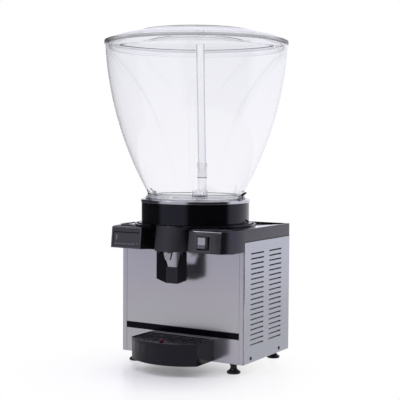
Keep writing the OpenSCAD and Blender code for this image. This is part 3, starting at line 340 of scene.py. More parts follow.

# Colour, roughness, fineness of the grain, relief, spread of tone, and sheen; then, where there is
# one, a coat, and the brightness of pale specks that are painted highlights of the grid's holes
PLASTICS = {
    "black_plastic": ("black", 0.24, 1400, 0.02, 0.25, 0.60),
    "flank_gloss": ("black", 0.11, 300, 0.004, 0.25, 0.55),
    "deck_gloss": ("black", 0.07, 300, 0.002, 0.1, 0.5, 1.0),
    "drum_gloss": ("drum_black", 0.10, 300, 0.004, 0.25, 0.32),
    "strip_gloss": ((0.0016, 0.0015, 0.0030), 0.16, 300, 0.004, 0.25, 0.10),
    "tray_plastic": ((0.0042, 0.0040, 0.0050), 0.13, 900, 0.006, 0.1, 0.27),
    # The grid's pale specks are painted highlights of its holes
    "grid_plastic": ((0.0030, 0.0028, 0.0036), 0.30, 420, 0.5, 0.25, 0.10, 0.0, 0.12),
    "lever_plastic": ((0.0030, 0.0029, 0.0036), 0.11, 1600, 0.01, 0.15, 0.42),
    # Duller, slightly darker copy of the lever's plastic: painted shade for its side facets
    "lever_side": ((0.0028, 0.0027, 0.0034), 0.20, 1600, 0.01, 0.15, 0.12),
    "hood_plastic": ((0.0270, 0.0265, 0.0310), 0.52, 1500, 0.05, 0.12, 0.4),
    "fascia_plastic": ((0.037, 0.0365, 0.041), 0.34, 1500, 0.03, 0.25, 0.45),
    "pod_face": ((0.054, 0.053, 0.058), 0.40, 1500, 0.03, 0.12, 0.35),
    "foot_plastic": ((0.006, 0.006, 0.0065), 0.22, 1200, 0.04, 0.25, 0.4),
    "rocker_plastic": ((0.345, 0.34, 0.375), 0.30, 900, 0.02, 0.12, 0.4),
    # Darker copy of the rocker's plastic: painted shade on the lower half of the rocker's face
    "rocker_shade": ((0.100, 0.098, 0.114), 0.34, 900, 0.02, 0.12, 0.4),
    "tick_paint": ((0.42, 0.42, 0.44), 0.5, 2500, 0.1, 0.1, 0.4),
    # Near black used for painted shade: the shadow under the cover's edge and the groove under the
    # fascia's head
    "line_paint": ((0.0035, 0.0034, 0.0042), 0.5, 2500, 0.1, 0.1, 0.2),
    "lamp_plastic": ((0.135, 0.13, 0.145), 0.45, 700, 0.02, 0.1, 0.12),
    "red_plastic": ("float_red", 0.26, 900, 0.03, 0.15, 0.3),
    "white_plastic": ((0.72, 0.72, 0.73), 0.36, 1300, 0.05, 0.05, 0.4),
    "black_rubber": ((0.012, 0.012, 0.012), 0.62, 1900, 0.15, 0.3, 0.4),
    "foam": ((0.66, 0.55, 0.32), 0.85, 420, 0.5, 0.12, 0.4),
    "black_casting": ((0.012, 0.012, 0.013), 0.38, 650, 0.2, 0.3, 0.4),
    "board_lacquer": ((0.012, 0.075, 0.030), 0.32, 500, 0.06, 0.25, 0.4, 0.3),
}

# Colour, roughness, density and tint of the depth, strength of the waves, and how far an edge keeps
# its brightness under the painted shade that darkens the silhouette
CLEARS = {
    "bowl_clear": ("clear", 0.0, 14.0, (0.78, 0.78, 0.90, 1), 0.004, 1.0),
    "rim_clear": ((0.66, 0.66, 0.67), 0.30, 4.0, (0.82, 0.82, 0.84, 1), 0.02, 1.0),
    "tube_clear": ((0.985, 0.985, 0.995), 0.0, 6.0, (0.80, 0.80, 0.88, 1), 0.001, 0.34),
    "sleeve_clear": ((0.985, 0.985, 0.995), 0.03, 2.0, (0.80, 0.80, 0.86, 1), 0.004, 0.88),
    "pump_clear": ((0.97, 0.97, 0.985), 0.12, 10.0, (0.74, 0.74, 0.78, 1), 0.01, 0.72),
    "gasket_clear": ((0.86, 0.87, 0.90), 0.25, 30.0, (0.78, 0.78, 0.90, 1), 0.004, 1.0),
    "pinch_clear": ((0.9, 0.9, 0.92), 0.3, 0.0, (0.78, 0.78, 0.90, 1), 0.004, 1.0),
}


def look(finish):
    """A finish out of the tables, made when it is first asked for."""
    found = bpy.data.materials.get(finish + LOOK)
    if found:
        return found
    for maker, table in ((steel, STEELS), (plastic, PLASTICS), (clear_plastic, CLEARS)):
        if finish in table:
            colour, *values = table[finish]
            if isinstance(colour, str):
                colour = getattr(colours(), colour)
            return maker(finish + LOOK, colour, *values)
    raise KeyError("there is no finish named " + finish)


# Shapes

def rounded(corners, steps=5):
    """A closed outline in mm; a corner with a third number is rounded to that radius."""
    outline = []
    side_share = 0.48
    for i, corner in enumerate(corners):
        here = Vector(corner[:2])
        radius = corner[2] if len(corner) > 2 else 0
        if not radius:
            outline.append((here.x, here.y))
            continue
        back = Vector(corners[i - 1][:2]) - here
        ahead = Vector(corners[(i + 1) % len(corners)][:2]) - here
        half = back.angle(ahead) / 2
        reach = min(radius / math.tan(half), back.length * side_share,
                    ahead.length * side_share)
        radius = reach * math.tan(half)
        back.normalize()
        ahead.normalize()
        start, end = here + back * reach, here + ahead * reach
        middle = here + (back + ahead).normalized() * (radius / math.sin(half))
        a, b = start - middle, end - middle
        turn = a.angle_signed(b)
        for k in range(steps + 1):
            arm = a.copy()
            arm.rotate(Matrix.Rotation(-turn * k / steps, 2))
            outline.append((middle.x + arm.x, middle.y + arm.y))
    return outline


def oblong(half_wide, half_tall):
    return [(-half_wide, -half_tall), (half_wide, -half_tall),
            (half_wide, half_tall), (-half_wide, half_tall)]


def arc_between(p, q, radius, steps):
    """Points on an arc from p to q whose centre is on the right of the way."""
    p, q = Vector(p), Vector(q)
    chord = q - p
    side = Vector((chord.y, -chord.x)).normalized()
    middle = (p + q) / 2 + side * math.sqrt(radius * radius - chord.length_squared / 4)
    start = math.atan2(p.y - middle.y, p.x - middle.x)
    turn = math.atan2(q.y - middle.y, q.x - middle.x) - start
    turn = (turn + math.pi) % (2 * math.pi) - math.pi
    return [(middle.x + radius * math.cos(start + turn * k / steps),
             middle.y + radius * math.sin(start + turn * k / steps)) for k in range(steps + 1)]


def turned_bmesh(outline, steps, place=None):
    """A closed outline of (radius, height) in mm turned round the upright axis."""
    bm = bmesh.new()
    rings = []
    for k in range(steps):
        a = 2 * math.pi * k / steps
        rings.append([bm.verts.new((r * MM * math.cos(a), r * MM * math.sin(a), z * MM))
                      for r, z in outline])
    count = len(outline)
    for k in range(steps):
        one, two = rings[k], rings[(k + 1) % steps]
        for i in range(count):
            j = (i + 1) % count
            if outline[i][0] or outline[j][0]:
                bm.faces.new((one[i], two[i], two[j], one[j]))
    bmesh.ops.remove_doubles(bm, verts=bm.verts, dist=1e-7)
    bmesh.ops.dissolve_degenerate(bm, edges=bm.edges, dist=1e-7)
    bmesh.ops.recalc_face_normals(bm, faces=bm.faces)
    if place:
        bm.transform(place)
    return bm


def walled(bm, low, high):
    """Closes the shape between two rings of points."""
    bm.faces.new(low)
    bm.faces.new(high)
    for i in range(len(low)):
        j = (i + 1) % len(low)
        bm.faces.new((low[i], low[j], high[j], high[i]))
    bmesh.ops.recalc_face_normals(bm, faces=bm.faces)
    return bm


def prism_bmesh(outline, frame_at, depth):
    """A closed outline in mm on the plane of frame_at, given a depth along the plane's normal."""
    bm = bmesh.new()
    low, high = [[bm.verts.new(frame_at @ Vector((x * MM, y * MM, z * MM))) for x, y in outline]
                 for z in (0, depth)]
    return walled(bm, low, high)


def mesh_of(bm, name, sharp=None):
    """The mesh of a shape, smooth up to the angle of its sharp edges; the shape is freed."""
    mesh = bpy.data.meshes.new(name)
    bm.to_mesh(mesh)
    bm.free()
    if sharp:
        mesh.shade_smooth()
        mesh.set_sharp_from_angle(angle=math.radians(sharp))
    return mesh


def reopened(*meshes):
    """One shape to work on, taken from meshes that are then removed."""
    bm = bmesh.new()
    for mesh in meshes:
        bm.from_mesh(mesh)
        bpy.data.meshes.remove(mesh)
    return bm


def in_scene(name, data):
    """A new object in the scene."""
    made = bpy.data.objects.new(name, data)
    bpy.context.scene.collection.objects.link(made)
    return made


def removed(made):
    mesh = made.data
    bpy.data.objects.remove(made)
    bpy.data.meshes.remove(mesh)


def finished(name, mesh, finish, nodes=(), body="cabinet"):
    """Puts a finished mesh in the scene, rides it on its body and lets it stand for its nodes."""
    mesh.name = name
    mesh.materials.clear()
    mesh.materials.append(look(finish))
    made = in_scene(name, mesh)
    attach(made, body)
    if nodes:
        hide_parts(*nodes)
    return made


def refaced(made, finish, pick):
    """Gives the faces that pick takes another finish."""
    mesh = made.data
    mesh.materials.append(look(finish))
    for face in mesh.polygons:
        if pick(face):
            face.material_index = len(mesh.materials) - 1


def piece(name, bm, finish, nodes=(), body="cabinet", sharp=SHARP):
    return finished(name, mesh_of(bm, name, sharp), finish, nodes, body)


def evaluated(holder):
    """The plain mesh that an object's modifiers give; the holder is removed."""
    graph = bpy.context.evaluated_depsgraph_get()
    graph.update()
    mesh = bpy.data.meshes.new_from_object(holder.evaluated_get(graph), depsgraph=graph)
    removed(holder)
    return mesh


def eased(bm, width, segments=3, sharp=32, least=0.0, pick=None, clamp=True):
    """Rounds the sharp edges of a closed shape, or those that pick takes."""
    layer = bm.edges.layers.float.new("bevel_weight_edge")
    for edge in bm.edges:
        folded = len(edge.link_faces) == 2 and edge.calc_face_angle(0) > math.radians(sharp)
        if folded and edge.calc_length() >= least and (pick is None or pick(edge)):
            edge[layer] = 1.0
    holder = in_scene("eased", mesh_of(bm, "eased", sharp))
    rounding = holder.modifiers.new("Rounding", "BEVEL")
    rounding.limit_method = "WEIGHT"
    rounding.width = width
    rounding.segments = segments
    rounding.use_clamp_overlap = clamp
    rounding.harden_normals = True
    return evaluated(holder)


def square_on(face):
    return max(abs(v) for v in face.normal) > 0.99999


def levelled(mesh, pick=square_on):
    """Gives the faces that pick takes their own even shading."""
    normals = [Vector(corner.vector) for corner in mesh.corner_normals]
    for face in mesh.polygons:
        if pick(face):
            for i in face.loop_indices:
                normals[i] = face.normal.copy()
    mesh.normals_split_custom_set(normals)
    return mesh


def merged(node_name):
    """A merged copy of a solid, with its flat faces whole."""
    bm = bmesh.new()
    bm.from_mesh(frame["nodes"][node_name].data)
    bmesh.ops.remove_doubles(bm, verts=bm.verts, dist=3e-6)
    bmesh.ops.dissolve_degenerate(bm, edges=bm.edges, dist=1e-6)
    bmesh.ops.dissolve_limit(bm, angle_limit=math.radians(0.6), verts=bm.verts, edges=bm.edges)
    return bm


def dressed(node_name, finish, width, segments=3, sharp=32):
    """The solid itself with edges eased by a width in mm, and a finish."""
    mesh = eased(merged(node_name), width * MM, segments, sharp)
    body = frame["nodes"][node_name]["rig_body"]
    return finished(node_name + "_dressed", mesh, finish, [node_name], body)


def coated(finish, *names):
    """Gives carried-over solids their finish."""
    for name in names:
        mesh = frame["nodes"][name].data
        mesh.materials.clear()
        mesh.materials.append(look(finish))


# Copies set out in rows by Geometry Nodes

def copies_tree():
    """Copies of one shape at equal steps along two directions."""
    found = bpy.data.node_groups.get("rows_of_copies")
    if found:
        return found
    tree = bpy.data.node_groups.new("rows_of_copies", "GeometryNodeTree")
    for label, kind in (("Shape", "Object"), ("Start", "Vector"), ("Across", "Vector"),
                        ("Down", "Vector"), ("Columns", "Int"), ("Rows", "Int"),
                        ("Finish", "Material")):
        tree.interface.new_socket(label, in_out="INPUT", socket_type="NodeSocket" + kind)
    tree.interface.new_socket("Geometry", in_out="OUTPUT", socket_type="NodeSocketGeometry")
    given = tree.nodes.new("NodeGroupInput").outputs
    across = node(tree, "GeometryNodeMeshLine", {
        "Count": given["Columns"], "Start Location": given["Start"],
        "Offset": given["Across"]}, mode="OFFSET")
    down = node(tree, "GeometryNodeMeshLine", {
        "Count": given["Rows"], "Offset": given["Down"]}, mode="OFFSET")
    lines = node(tree, "GeometryNodeInstanceOnPoints", {
        "Points": across.outputs[0], "Instance": down.outputs[0]})
    points = node(tree, "GeometryNodeRealizeInstances", {"Geometry": lines.outputs[0]})
    shape = node(tree, "GeometryNodeObjectInfo", {"Object": given["Shape"]})
    copies = node(tree, "GeometryNodeInstanceOnPoints", {
        "Points": points.outputs[0], "Instance": shape.outputs["Geometry"]})
    real = node(tree, "GeometryNodeRealizeInstances", {"Geometry": copies.outputs[0]})
    coat = node(tree, "GeometryNodeSetMaterial", {
        "Geometry": real.outputs[0], "Material": given["Finish"]})
    node(tree, "NodeGroupOutput", {"Geometry": coat.outputs[0]})
    return tree


def set_out(bm, start, across, down, columns, rows, finish):
    """A plain mesh of copies of a shape, set out by the tree above; the shape is freed."""
    tree = copies_tree()
    shape = in_scene("pattern", mesh_of(bm, "pattern", SHARP))
    holder = in_scene("rows", bpy.data.meshes.new("rows"))
    modifier = holder.modifiers.new("Rows", "NODES")
    modifier.node_group = tree
    values = {"Shape": shape, "Start": start, "Across": across, "Down": down,
              "Columns": columns, "Rows": rows, "Finish": look(finish)}
    for item in tree.interface.items_tree:
        if item.in_out == "INPUT":
            modifier[item.identifier] = values[item.name]
    mesh = evaluated(holder)
    removed(shape)
    return mesh


# Bowl, lid and spray column

def build_bowl():
    low, high, rim = BOWL_LOW.z / MM, BOWL_HIGH.z / MM, BOWL_HIGH.x / MM
    wall = sizes().bowl_wall / MM
    flange, neck, sweep = 103.5, 100.0, 704
    flange_top, neck_top = low + 4, low + 11
    outer = arc_between((rim, high), (neck, neck_top), sweep, 48)[::-1]
    inner = [(r - wall, z) for r, z in outer]
    outline = rounded([(flange, low, 0.8), (flange, flange_top, 1.2), (neck, flange_top, 1.5),
                       (neck, neck_top)])
    outline += outer[1:-1]
    outline += rounded([(rim, high, 1.2), (rim - wall, high, 1.2), inner[-2]])[:-1]
    outline += inner[-2:0:-1] + [(neck - wall, neck_top), (neck - wall, low)]
    piece("bowl_wall", turned_bmesh(outline, WIDE_STEPS), "bowl_clear", ["bowl"],
          "bowl", WIDE_SHARP)


def build_lid():
    """Sloping shoulder, a step up to a slightly domed middle, and a skirt inside the bowl."""
    low, high, edge = LID_LOW.z / MM + 10, LID_HIGH.z / MM, LID_HIGH.x / MM
    wall, skirt, step, crown = 3.0, 181.8, 2.7, 3.3
    edge_top, skirt_top, skirt_foot = low + 7, low + 3, low - 10
    shoulder_width, shoulder_sweep = 71.5, 343
    middle, foot = edge - shoulder_width, high - crown - step
    shoulder = arc_between((middle, foot), (edge, edge_top), shoulder_sweep, 24)[::-1]
    under = [(r - 0.8, z - 2.9) for r, z in shoulder if r < skirt + 1.5]
    reach = middle - step
    sweep = (reach * reach + crown * crown) / (2 * crown)
    dome = []
    for k in range(11):
        r = reach * (1 - k / 10)
        dome.append((r, high - sweep + math.sqrt(sweep ** 2 - r ** 2)))
    outline = rounded([(skirt, low), (edge, low, 1.0), (edge, edge_top, 1.8), shoulder[3]])[:-1]
    outline += shoulder[3:-2]
    outline += rounded([shoulder[-3], (middle, foot, 1.4), (*dome[0], 1.4), dome[1]])[1:-1]
    outline += dome[1:] + [(r, z - wall) for r, z in dome[:0:-1]]
    outline += [(dome[0][0] - 1.5, dome[0][1] - wall)] + under[::-1]
    outline += rounded([(skirt, skirt_top), (skirt - wall, skirt_top, 0.5),
                        (skirt - wall, skirt_foot, 1.2), (skirt, skirt_foot, 1.2)])
    shell = piece("lid_shell", turned_bmesh(outline, WIDE_STEPS), "bowl_clear",
                  ["lid"], "lid", WIDE_SHARP)

    def rim_face(face):
        return face.center.xy.length > (edge - 1.2) * MM and face.center.z < (low + 5) * MM

    refaced(shell, "rim_clear", rim_face)


def build_spray_column():
    x, y, foot, lean = 5, 18, 401.3, 1.75
    tilt = Matrix.Rotation(math.radians(lean), 4, Vector((y, -x, 0)).normalized())
    tube_place = Matrix.Translation((x * MM, y * MM, foot * MM)) @ tilt
    outside, inside, length = 8.4, 6.9, 263
    tube = rounded([(outside, 0, 0.5), (outside, length, 0.7), (inside, length, 0.7),
                    (inside, 0, 0.5)])
    piece("spray_tube_wall", turned_bmesh(tube, 48, tube_place), "tube_clear",
          ["spray_tube"])
    outside, upper_bore, lower_bore = 10.5, 9.1, 9.45
    low, ring, step, high = 387, 389, 401.2, 418
    sleeve = rounded([(outside, low, 0.5), (outside, ring), (outside, high, 0.8),
                      (upper_bore, high, 0.4), (upper_bore, step), (lower_bore, step),
                      (lower_bore, ring), (lower_bore, low, 0.3)])
    sleeve_place = Matrix.Translation((x * MM, y * MM, 0))
    wall = piece("tube_sleeve_wall", turned_bmesh(sleeve, 48, sleeve_place), "sleeve_clear",
                 ["tube_sleeve"])
    refaced(wall, "rim_clear", lambda face: face.center.z < ring * MM)
    dressed("pump_housing", "pump_clear", 0.7, 2)
    dressed("impeller", "white_plastic", 0.3, 2)


# Plate, drum and latches

def build_plate_and_drum():
    low, high, radius = DRUM_LOW.z / MM, DRUM_HIGH.z / MM, DRUM_HIGH.x / MM
    bore, inside, floor = 98, radius - 4, low + 3
    drum = rounded([(bore, low), (radius, low, 1.6), (radius, high, 0.5), (inside, high),
                    (inside, floor), (bore, floor)])
    piece("drum_skin", turned_bmesh(drum, WIDE_STEPS), "drum_gloss", ["drum"],
          sharp=WIDE_SHARP)
    dressed("evaporator_plate", "plate_steel", 0.8, 3, 25)
    outside, foot, crest = radius + 1.4, high + 0.3, high + 7.2
    bead = rounded([(110.8, foot), (outside, foot, 0.4), (outside, high + 5.6, 1.3),
                    (radius - 1.4, crest, 0.8), (108.6, crest), (108.6, high + 6.4)])
    piece("plate_bead", turned_bmesh(bead, WIDE_STEPS), "plate_steel",
          sharp=WIDE_SHARP)
    dressed("bowl_gasket", "gasket_clear", 0.4, 2)


def build_latches():
    dressed("latch_brackets", "zinc_steel", 0.35, 2)
    for name in ("latch_left", "latch_right"):
        dressed(name, "black_plastic", 0.45, 2)
    coated("chrome", "latch_pins")


# Top cover and controls

# Heights on the cover in metres, as its solid has them and as they are shown
POD_TOP, LIP_TOP = 0.289, 0.290
DECK_SOLID, DECK_SHOWN = 0.284, 0.2887
RING_SOLID, RING_SHOWN = 0.281, 0.2885
# What lies ahead of this is the front of a pod
POD_FRONT = -0.112
# Limits that lie just inside the outer faces of the lip
LIP_SIDE, LIP_BACK = 0.1456, 0.1465
# Angle past which the cover's edges are rounded
COVER_SHARP = 40


def close_to(value, target, reach=0.2 * MM):
    return abs(value - target) < reach


def pod_plane(x, z, out):
    """A frame on the pods' leaning face, its Z pointing out to the front."""
    lean, middle_y, middle_z = 5 / 43.5, -119.0, 267.25
    face = middle_y + lean * (z - middle_z)
    up = Vector((0, lean, 1)).normalized()
    along = Vector((1, 0, 0))
    outwards = along.cross(up)
    frame_at = Matrix((along, up, outwards)).transposed().to_4x4()
    frame_at.translation = Vector((x, face, z)) * MM + outwards * out * MM
    return frame_at


def pod_crest(edge):
    """The top front edges of the control pods."""
    return all(close_to(v.co.z, POD_TOP) and v.co.y < -0.115 and abs(v.co.x) > 0.05
               for v in edge.verts)


def crest_face(face):
    """The chamfers along the pods' top front edges."""
    leaning = 0.5 < face.normal.z < 0.86 and face.normal.y < -0.4
    return leaning and face.center.y < POD_FRONT and face.center.z > 0.2855


def lip_crest(edge):
    """The cover's outer top edge along the sides and the back."""
    return all(close_to(v.co.z, LIP_TOP) and (abs(v.co.x) > LIP_SIDE or v.co.y > LIP_BACK)
               for v in edge.verts)


def off_the_crests(edge):
    """Every edge away from those two, which have their own shape already."""
    pod_low, pod_back = 0.2862, -0.1125
    lip_low, lip_side, lip_back = 0.2865, 0.1428, 0.1464
    return not all((v.co.z > pod_low and v.co.y < pod_back) or
                   (v.co.z > lip_low and (abs(v.co.x) > lip_side or v.co.y > lip_back))
                   for v in edge.verts)


def cover_bmesh():
    """The cover with its deck close under the lip and a thin ring edge over the tap."""
    bm = merged("top_cover")
    exact, ring_front, ring_edge = 0.02 * MM, -0.075, 0.1255
    for v in bm.verts:
        over_tap = v.co.y < ring_front and v.co.xy.length > ring_edge
        if close_to(v.co.z, DECK_SOLID, exact):
            v.co.z = DECK_SHOWN
        elif over_tap and close_to(v.co.z, RING_SOLID, exact):
            v.co.z = RING_SHOWN
    return bm


def build_pod_flanks():
    """Flanks that sweep from the pods' faces round to the sides of the cover."""
    count, inner, pod_side = 18, 125.5, 128.3
    end = Vector((145.9, -53.0))

    def top_edge(edge):
        return all(v.co.z > 0.2885 and abs(v.co.x) > 0.128 for v in edge.verts)

    for side, word in SIDES:
        bm = bmesh.new()
        rings = []
        for z, lead in ((245.4, -120.9), (288.9, -115.9)):
            across, along = end.x - pod_side, end.y - lead
            radius = (across * across + along * along) / (2 * across)
            turn = math.asin(along / radius)
            outline = [(end.x - radius + radius * math.cos(turn * (1 - k / count)),
                        end.y - radius * math.sin(turn * (1 - k / count)))
                       for k in range(count + 1)]
            outline += [(143.0, -56.0), (inner, -70.0), (inner, lead + 3)]
            rings.append([bm.verts.new((side * x * MM, y * MM, z * MM)) for x, y in outline])
        mesh = eased(walled(bm, *rings), 2.2 * MM, 4, COVER_SHARP, pick=top_edge)
        finished("pod_flank_" + word, mesh, "flank_gloss")


def build_top_cover():
    mesh = eased(cover_bmesh(), sizes().pod_edge, 1, COVER_SHARP, pick=pod_crest, clamp=False)
    mesh = eased(reopened(mesh), sizes().lip_edge, 4, COVER_SHARP, pick=lip_crest, clamp=False)
    mesh = eased(reopened(mesh), sizes().cover_edge, 3, COVER_SHARP, pick=off_the_crests,
                 clamp=False)
    mesh = levelled(mesh, crest_face)
    made = finished("cover_shell", mesh, "black_plastic", ["top_cover"])

    def deck_face(face):
        return face.normal.z > 0.99 and close_to(face.center.z, DECK_SHOWN)

    def ring_face(face):
        return 0.1195 < face.center.xy.length < 0.1268 and face.center.z > 0.2889

    def front_face(face):
        return face.normal.y < -0.95 and face.center.y < POD_FRONT

    for finish, pick in (("deck_gloss", deck_face), ("drum_gloss", ring_face),
                         ("pod_face", front_face), ("deck_gloss", crest_face)):
        refaced(made, finish, pick)
    build_pod_flanks()
    dressed("control_fascia", "fascia_plastic", 0.6, 2)
    coated("lamp_plastic", "status_lamp")
    dressed("switch_bezel", "pod_face", 0.5, 2)


def build_rocker():
    """Dark rocker with a paler hollow face on it; the face's lower part has a darker copy of the
    face's plastic as painted shade.
    """
    dressed("rocker", "black_plastic", 0.6, 3)
    count, half, tall = 24, 8.2, 10.6
    hollow, centre, sunk = 41, -45.5, 0.15
    painted_shade_top = 0.2620
    bm = bmesh.new()
    rows = []
    for k in range(count + 1):
        z = -tall + 2 * tall * k / count
        y = centre + math.sqrt(hollow ** 2 - z * z) - sunk
        rows.append([bm.verts.new((x * MM, y * MM, z * MM)) for x in (-half, half)])
    for one, two in zip(rows, rows[1:]):
        bm.faces.new((one[0], one[1], two[1], two[0]))
    place = Matrix.Translation(Vector((86.3, -116.26, 265.0)) * MM)
    bm.transform(place @ Matrix.Rotation(math.radians(-7), 4, "X"))
    face = piece("rocker_face", bm, "rocker_plastic", body="rocker")
    # The lower faces get a darker copy of the rocker's plastic: painted shade where the face turns
    # away from the light.
    refaced(face, "rocker_shade", lambda part: part.center.z < painted_shade_top)


def build_fascia_ticks():
    """A plain row of ticks at the fascia's foot, a tall pale mark, and a dark line under its head
    that is painted shade for the groove there.
    """
    count, row_length = sizes().tick_count, 44.0
    out, thick = -1.25, 0.12
    face = pod_plane(-118.0, 254.2, out)
    bm = prism_bmesh(oblong(0.5, 1.2), face, thick)
    bm.transform(Matrix.Translation(-face.translation))
    mesh = set_out(bm, face.translation, (row_length / (count - 1) * MM, 0, 0), (0, 0, 0),
                   count, 1, "tick_paint")
    finished("fascia_ticks", mesh, "tick_paint")
    # The dark line under the fascia's head stands for the groove there: painted shade.
    line = rounded([(x, y, 0.6) for x, y in oblong(31, 1.1)])
    for name, outline, x, z, finish in (
            ("fascia_tall_tick", oblong(0.45, 4.5), -116.5, 267.5, "tick_paint"),
            ("fascia_line", line, -92.25, 277.6, "line_paint")):
        piece(name, prism_bmesh(outline, pod_plane(x, z, out), thick), finish)


# Tap

def build_hood():
    """A bowed shell that narrows upwards, with rounded top corners and an open back."""
    low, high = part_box("tap_cover")
    z0, z1 = low.z / MM, high.z / MM
    back, edge = high.y / MM, -96.0
    columns, rows, wall, corner = 40, 14, 2.0, 7.0
    foot_half, narrowed, foot_bow, flattened = 37.5, 3, 27, 10

    def section(t, inset):
        half = foot_half - narrowed * t - inset
        bow = foot_bow - flattened * t - inset
        r = (half * half + bow * bow) / (2 * bow)
        a = math.asin(min(1, half / r))
        turns = [-a + 2 * a * k / columns for k in range(columns + 1)]
        arc = [(r * math.sin(turn), edge - bow + r - r * math.cos(turn)) for turn in turns]
        return [(-half, back)] + arc + [(half, back)]

    def crest(x):
        over = max(0.0, abs(x) - (foot_half - narrowed - corner))
        return z1 - corner + math.sqrt(max(0.0, corner * corner - over * over))

    bm = bmesh.new()
    outer, inner = [], []
    for k in range(rows + 1):
        t = k / rows
        for skin, inset in ((outer, 0), (inner, wall)):
            skin.append([bm.verts.new((x * MM, y * MM, (z0 + (crest(tip[0]) - z0) * t) * MM))
                         for (x, y), tip in zip(section(t, inset), section(1, inset))])
    last = len(outer[0]) - 1
    for k in range(rows):
        for i in range(last):
            bm.faces.new((outer[k][i], outer[k][i + 1], outer[k + 1][i + 1], outer[k + 1][i]))
            bm.faces.new((inner[k][i], inner[k + 1][i], inner[k + 1][i + 1], inner[k][i + 1]))
        for i in (0, last):
            bm.faces.new((outer[k][i], outer[k + 1][i], inner[k + 1][i], inner[k][i]))
    for row in (0, rows):
        for i in range(last):
            bm.faces.new((outer[row][i], inner[row][i], inner[row][i + 1], outer[row][i + 1]))
    bmesh.ops.recalc_face_normals(bm, faces=bm.faces)
    mesh = eased(bm, 0.9 * MM, 3, 50)
    finished("tap_hood", mesh, "hood_plastic", ["tap_cover"])


def build_tap():
    build_hood()
    lever = dressed("lever", "lever_plastic", 0.5, 2, 9)
    # The side facets get a duller, slightly darker copy of the lever's plastic: painted shade, as
    # they face away from the soft box that lights the middle facet.
    refaced(lever, "lever_side",
            lambda face: face.normal.y < -0.9 and abs(face.normal.x) > 0.12)
    y, z = -105.0, 243.5
    tip, seat, top = z - 17.5, z - 3.5, z + 5
    nozzle = rounded([(4.5, tip), (6, tip, 0.5), (9.6, seat, 1.0), (10.4, seat, 0.3),
                      (10.4, z, 0.4), (8, z), (8, top), (4.5, top)])
    piece("nozzle_skin", turned_bmesh(nozzle, 64, Matrix.Translation((0, y * MM, 0))),
          "nozzle_steel", ["tap_nozzle"])
    coated("white_plastic", "tap_body")
    coated("pinch_clear", "pinch_tube")
    coated("chrome", "lever_pins", "lever_springs", "outlet_pipe")
    coated("screw_black", "tap_screws")


# Cabinet

def folded_corner(edge):
    """The upright outer corners of the cabinet."""
    side, front, back = 0.1459, -0.0539, 0.1499
    return all(abs(v.co.x) > side and (v.co.y < front or v.co.y > back) for v in edge.verts)


def build_panels():
    sharp, least = 50, 60 * MM
    for name in ("left_side_panel", "right_side_panel"):
        mesh = eased(merged(name), sizes().sheet_edge, 4, sharp, least, folded_corner, False)
        made = finished(name + "_dressed", levelled(mesh), "side_steel", [name])
        refaced(made, "front_steel", lambda face: face.normal.y < -0.2)
    for name, finish, slot in (("rear_panel", "side_steel", "steel_panel"),
                               ("front_panel", "front_steel", "front_steel")):
        mesh = levelled(eased(merged(name), 0.3 * MM, 2, sharp, least))
        finished(name + "_dressed", mesh, finish, [name])
    dressed("front_trim_strip", "strip_gloss", 0.35, 2)
    # Thin black strips along the sides just under the cover's edge: a painted shadow where the
    # cover meets the panels.
    shadow_x, shadow_y, shadow_z = 0.1455, 0.0475, 0.2643
    shadow_size = Matrix.Diagonal((0.0013, 0.199, 0.0015, 1))
    for side, word in SIDES:
        bm = bmesh.new()
        bmesh.ops.create_cube(bm, size=1.0)
        bm.transform(Matrix.Translation((side * shadow_x, shadow_y, shadow_z)) @ shadow_size)
        finished("cover_gap_" + word, eased(bm, 0.1 * MM, 2), "line_paint")
    coated("zinc_steel", "base_pan")
    coated("black_rubber", "cable_gland")


def build_louvres():
    """A slanting tongue in every slot; those of the sides stop short of the slot's rear end and are
    paler than their sheet, a painted highlight.
    """
    rows = sizes().louvre_rows
    depth = sizes().louvre_depth / MM
    low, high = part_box("right_side_panel")
    front, top = low.y / MM, high.z / MM
    length, gap, open_end = 56.5, 24.0, 6.0
    first_column, first_row, foot_room = 27, 25.5, 36.0
    pitch = ((high.z - low.z) / MM - first_row - foot_room) / (rows - 1)
    blade = [(0.1, -1.9), (0.1 + depth, -0.4), (0.7 + depth, -0.9), (0.7, -2.5)]
    for side, word in SIDES:
        place = Matrix(((-side, 0, 0, 0), (0, 0, 1, 0), (0, 1, 0, 0), (0, 0, 0, 1)))
        first = (side * high.x, (front + first_column) * MM, (top - first_row) * MM)
        # The side tongues get the paler copy of the side steel: painted highlight.
        mesh = set_out(prism_bmesh(blade, place, length - open_end), first,
                       (0, (length + gap) * MM, 0), (0, 0, -pitch * MM), 2, rows, "louvre_steel")
        finished("louvre_tongues_" + word, mesh, "louvre_steel")
    place = Matrix(((0, 0, 1, 0), (-1, 0, 0, 0), (0, 1, 0, 0), (0, 0, 0, 1)))
    blade = [(0.3, -1.9), (3.0, 2.2), (3.6, 1.8), (0.9, -2.5)]
    length, column_step, row_step, rows = 70.0, 124, 12, 10
    first = (-97 * MM, high.y, (top - 40) * MM)
    mesh = set_out(prism_bmesh(blade, place, length), first,
                   (column_step * MM, 0, 0), (0, 0, -row_step * MM), 2, rows, "side_steel")
    finished("louvre_tongues_rear", mesh, "side_steel")


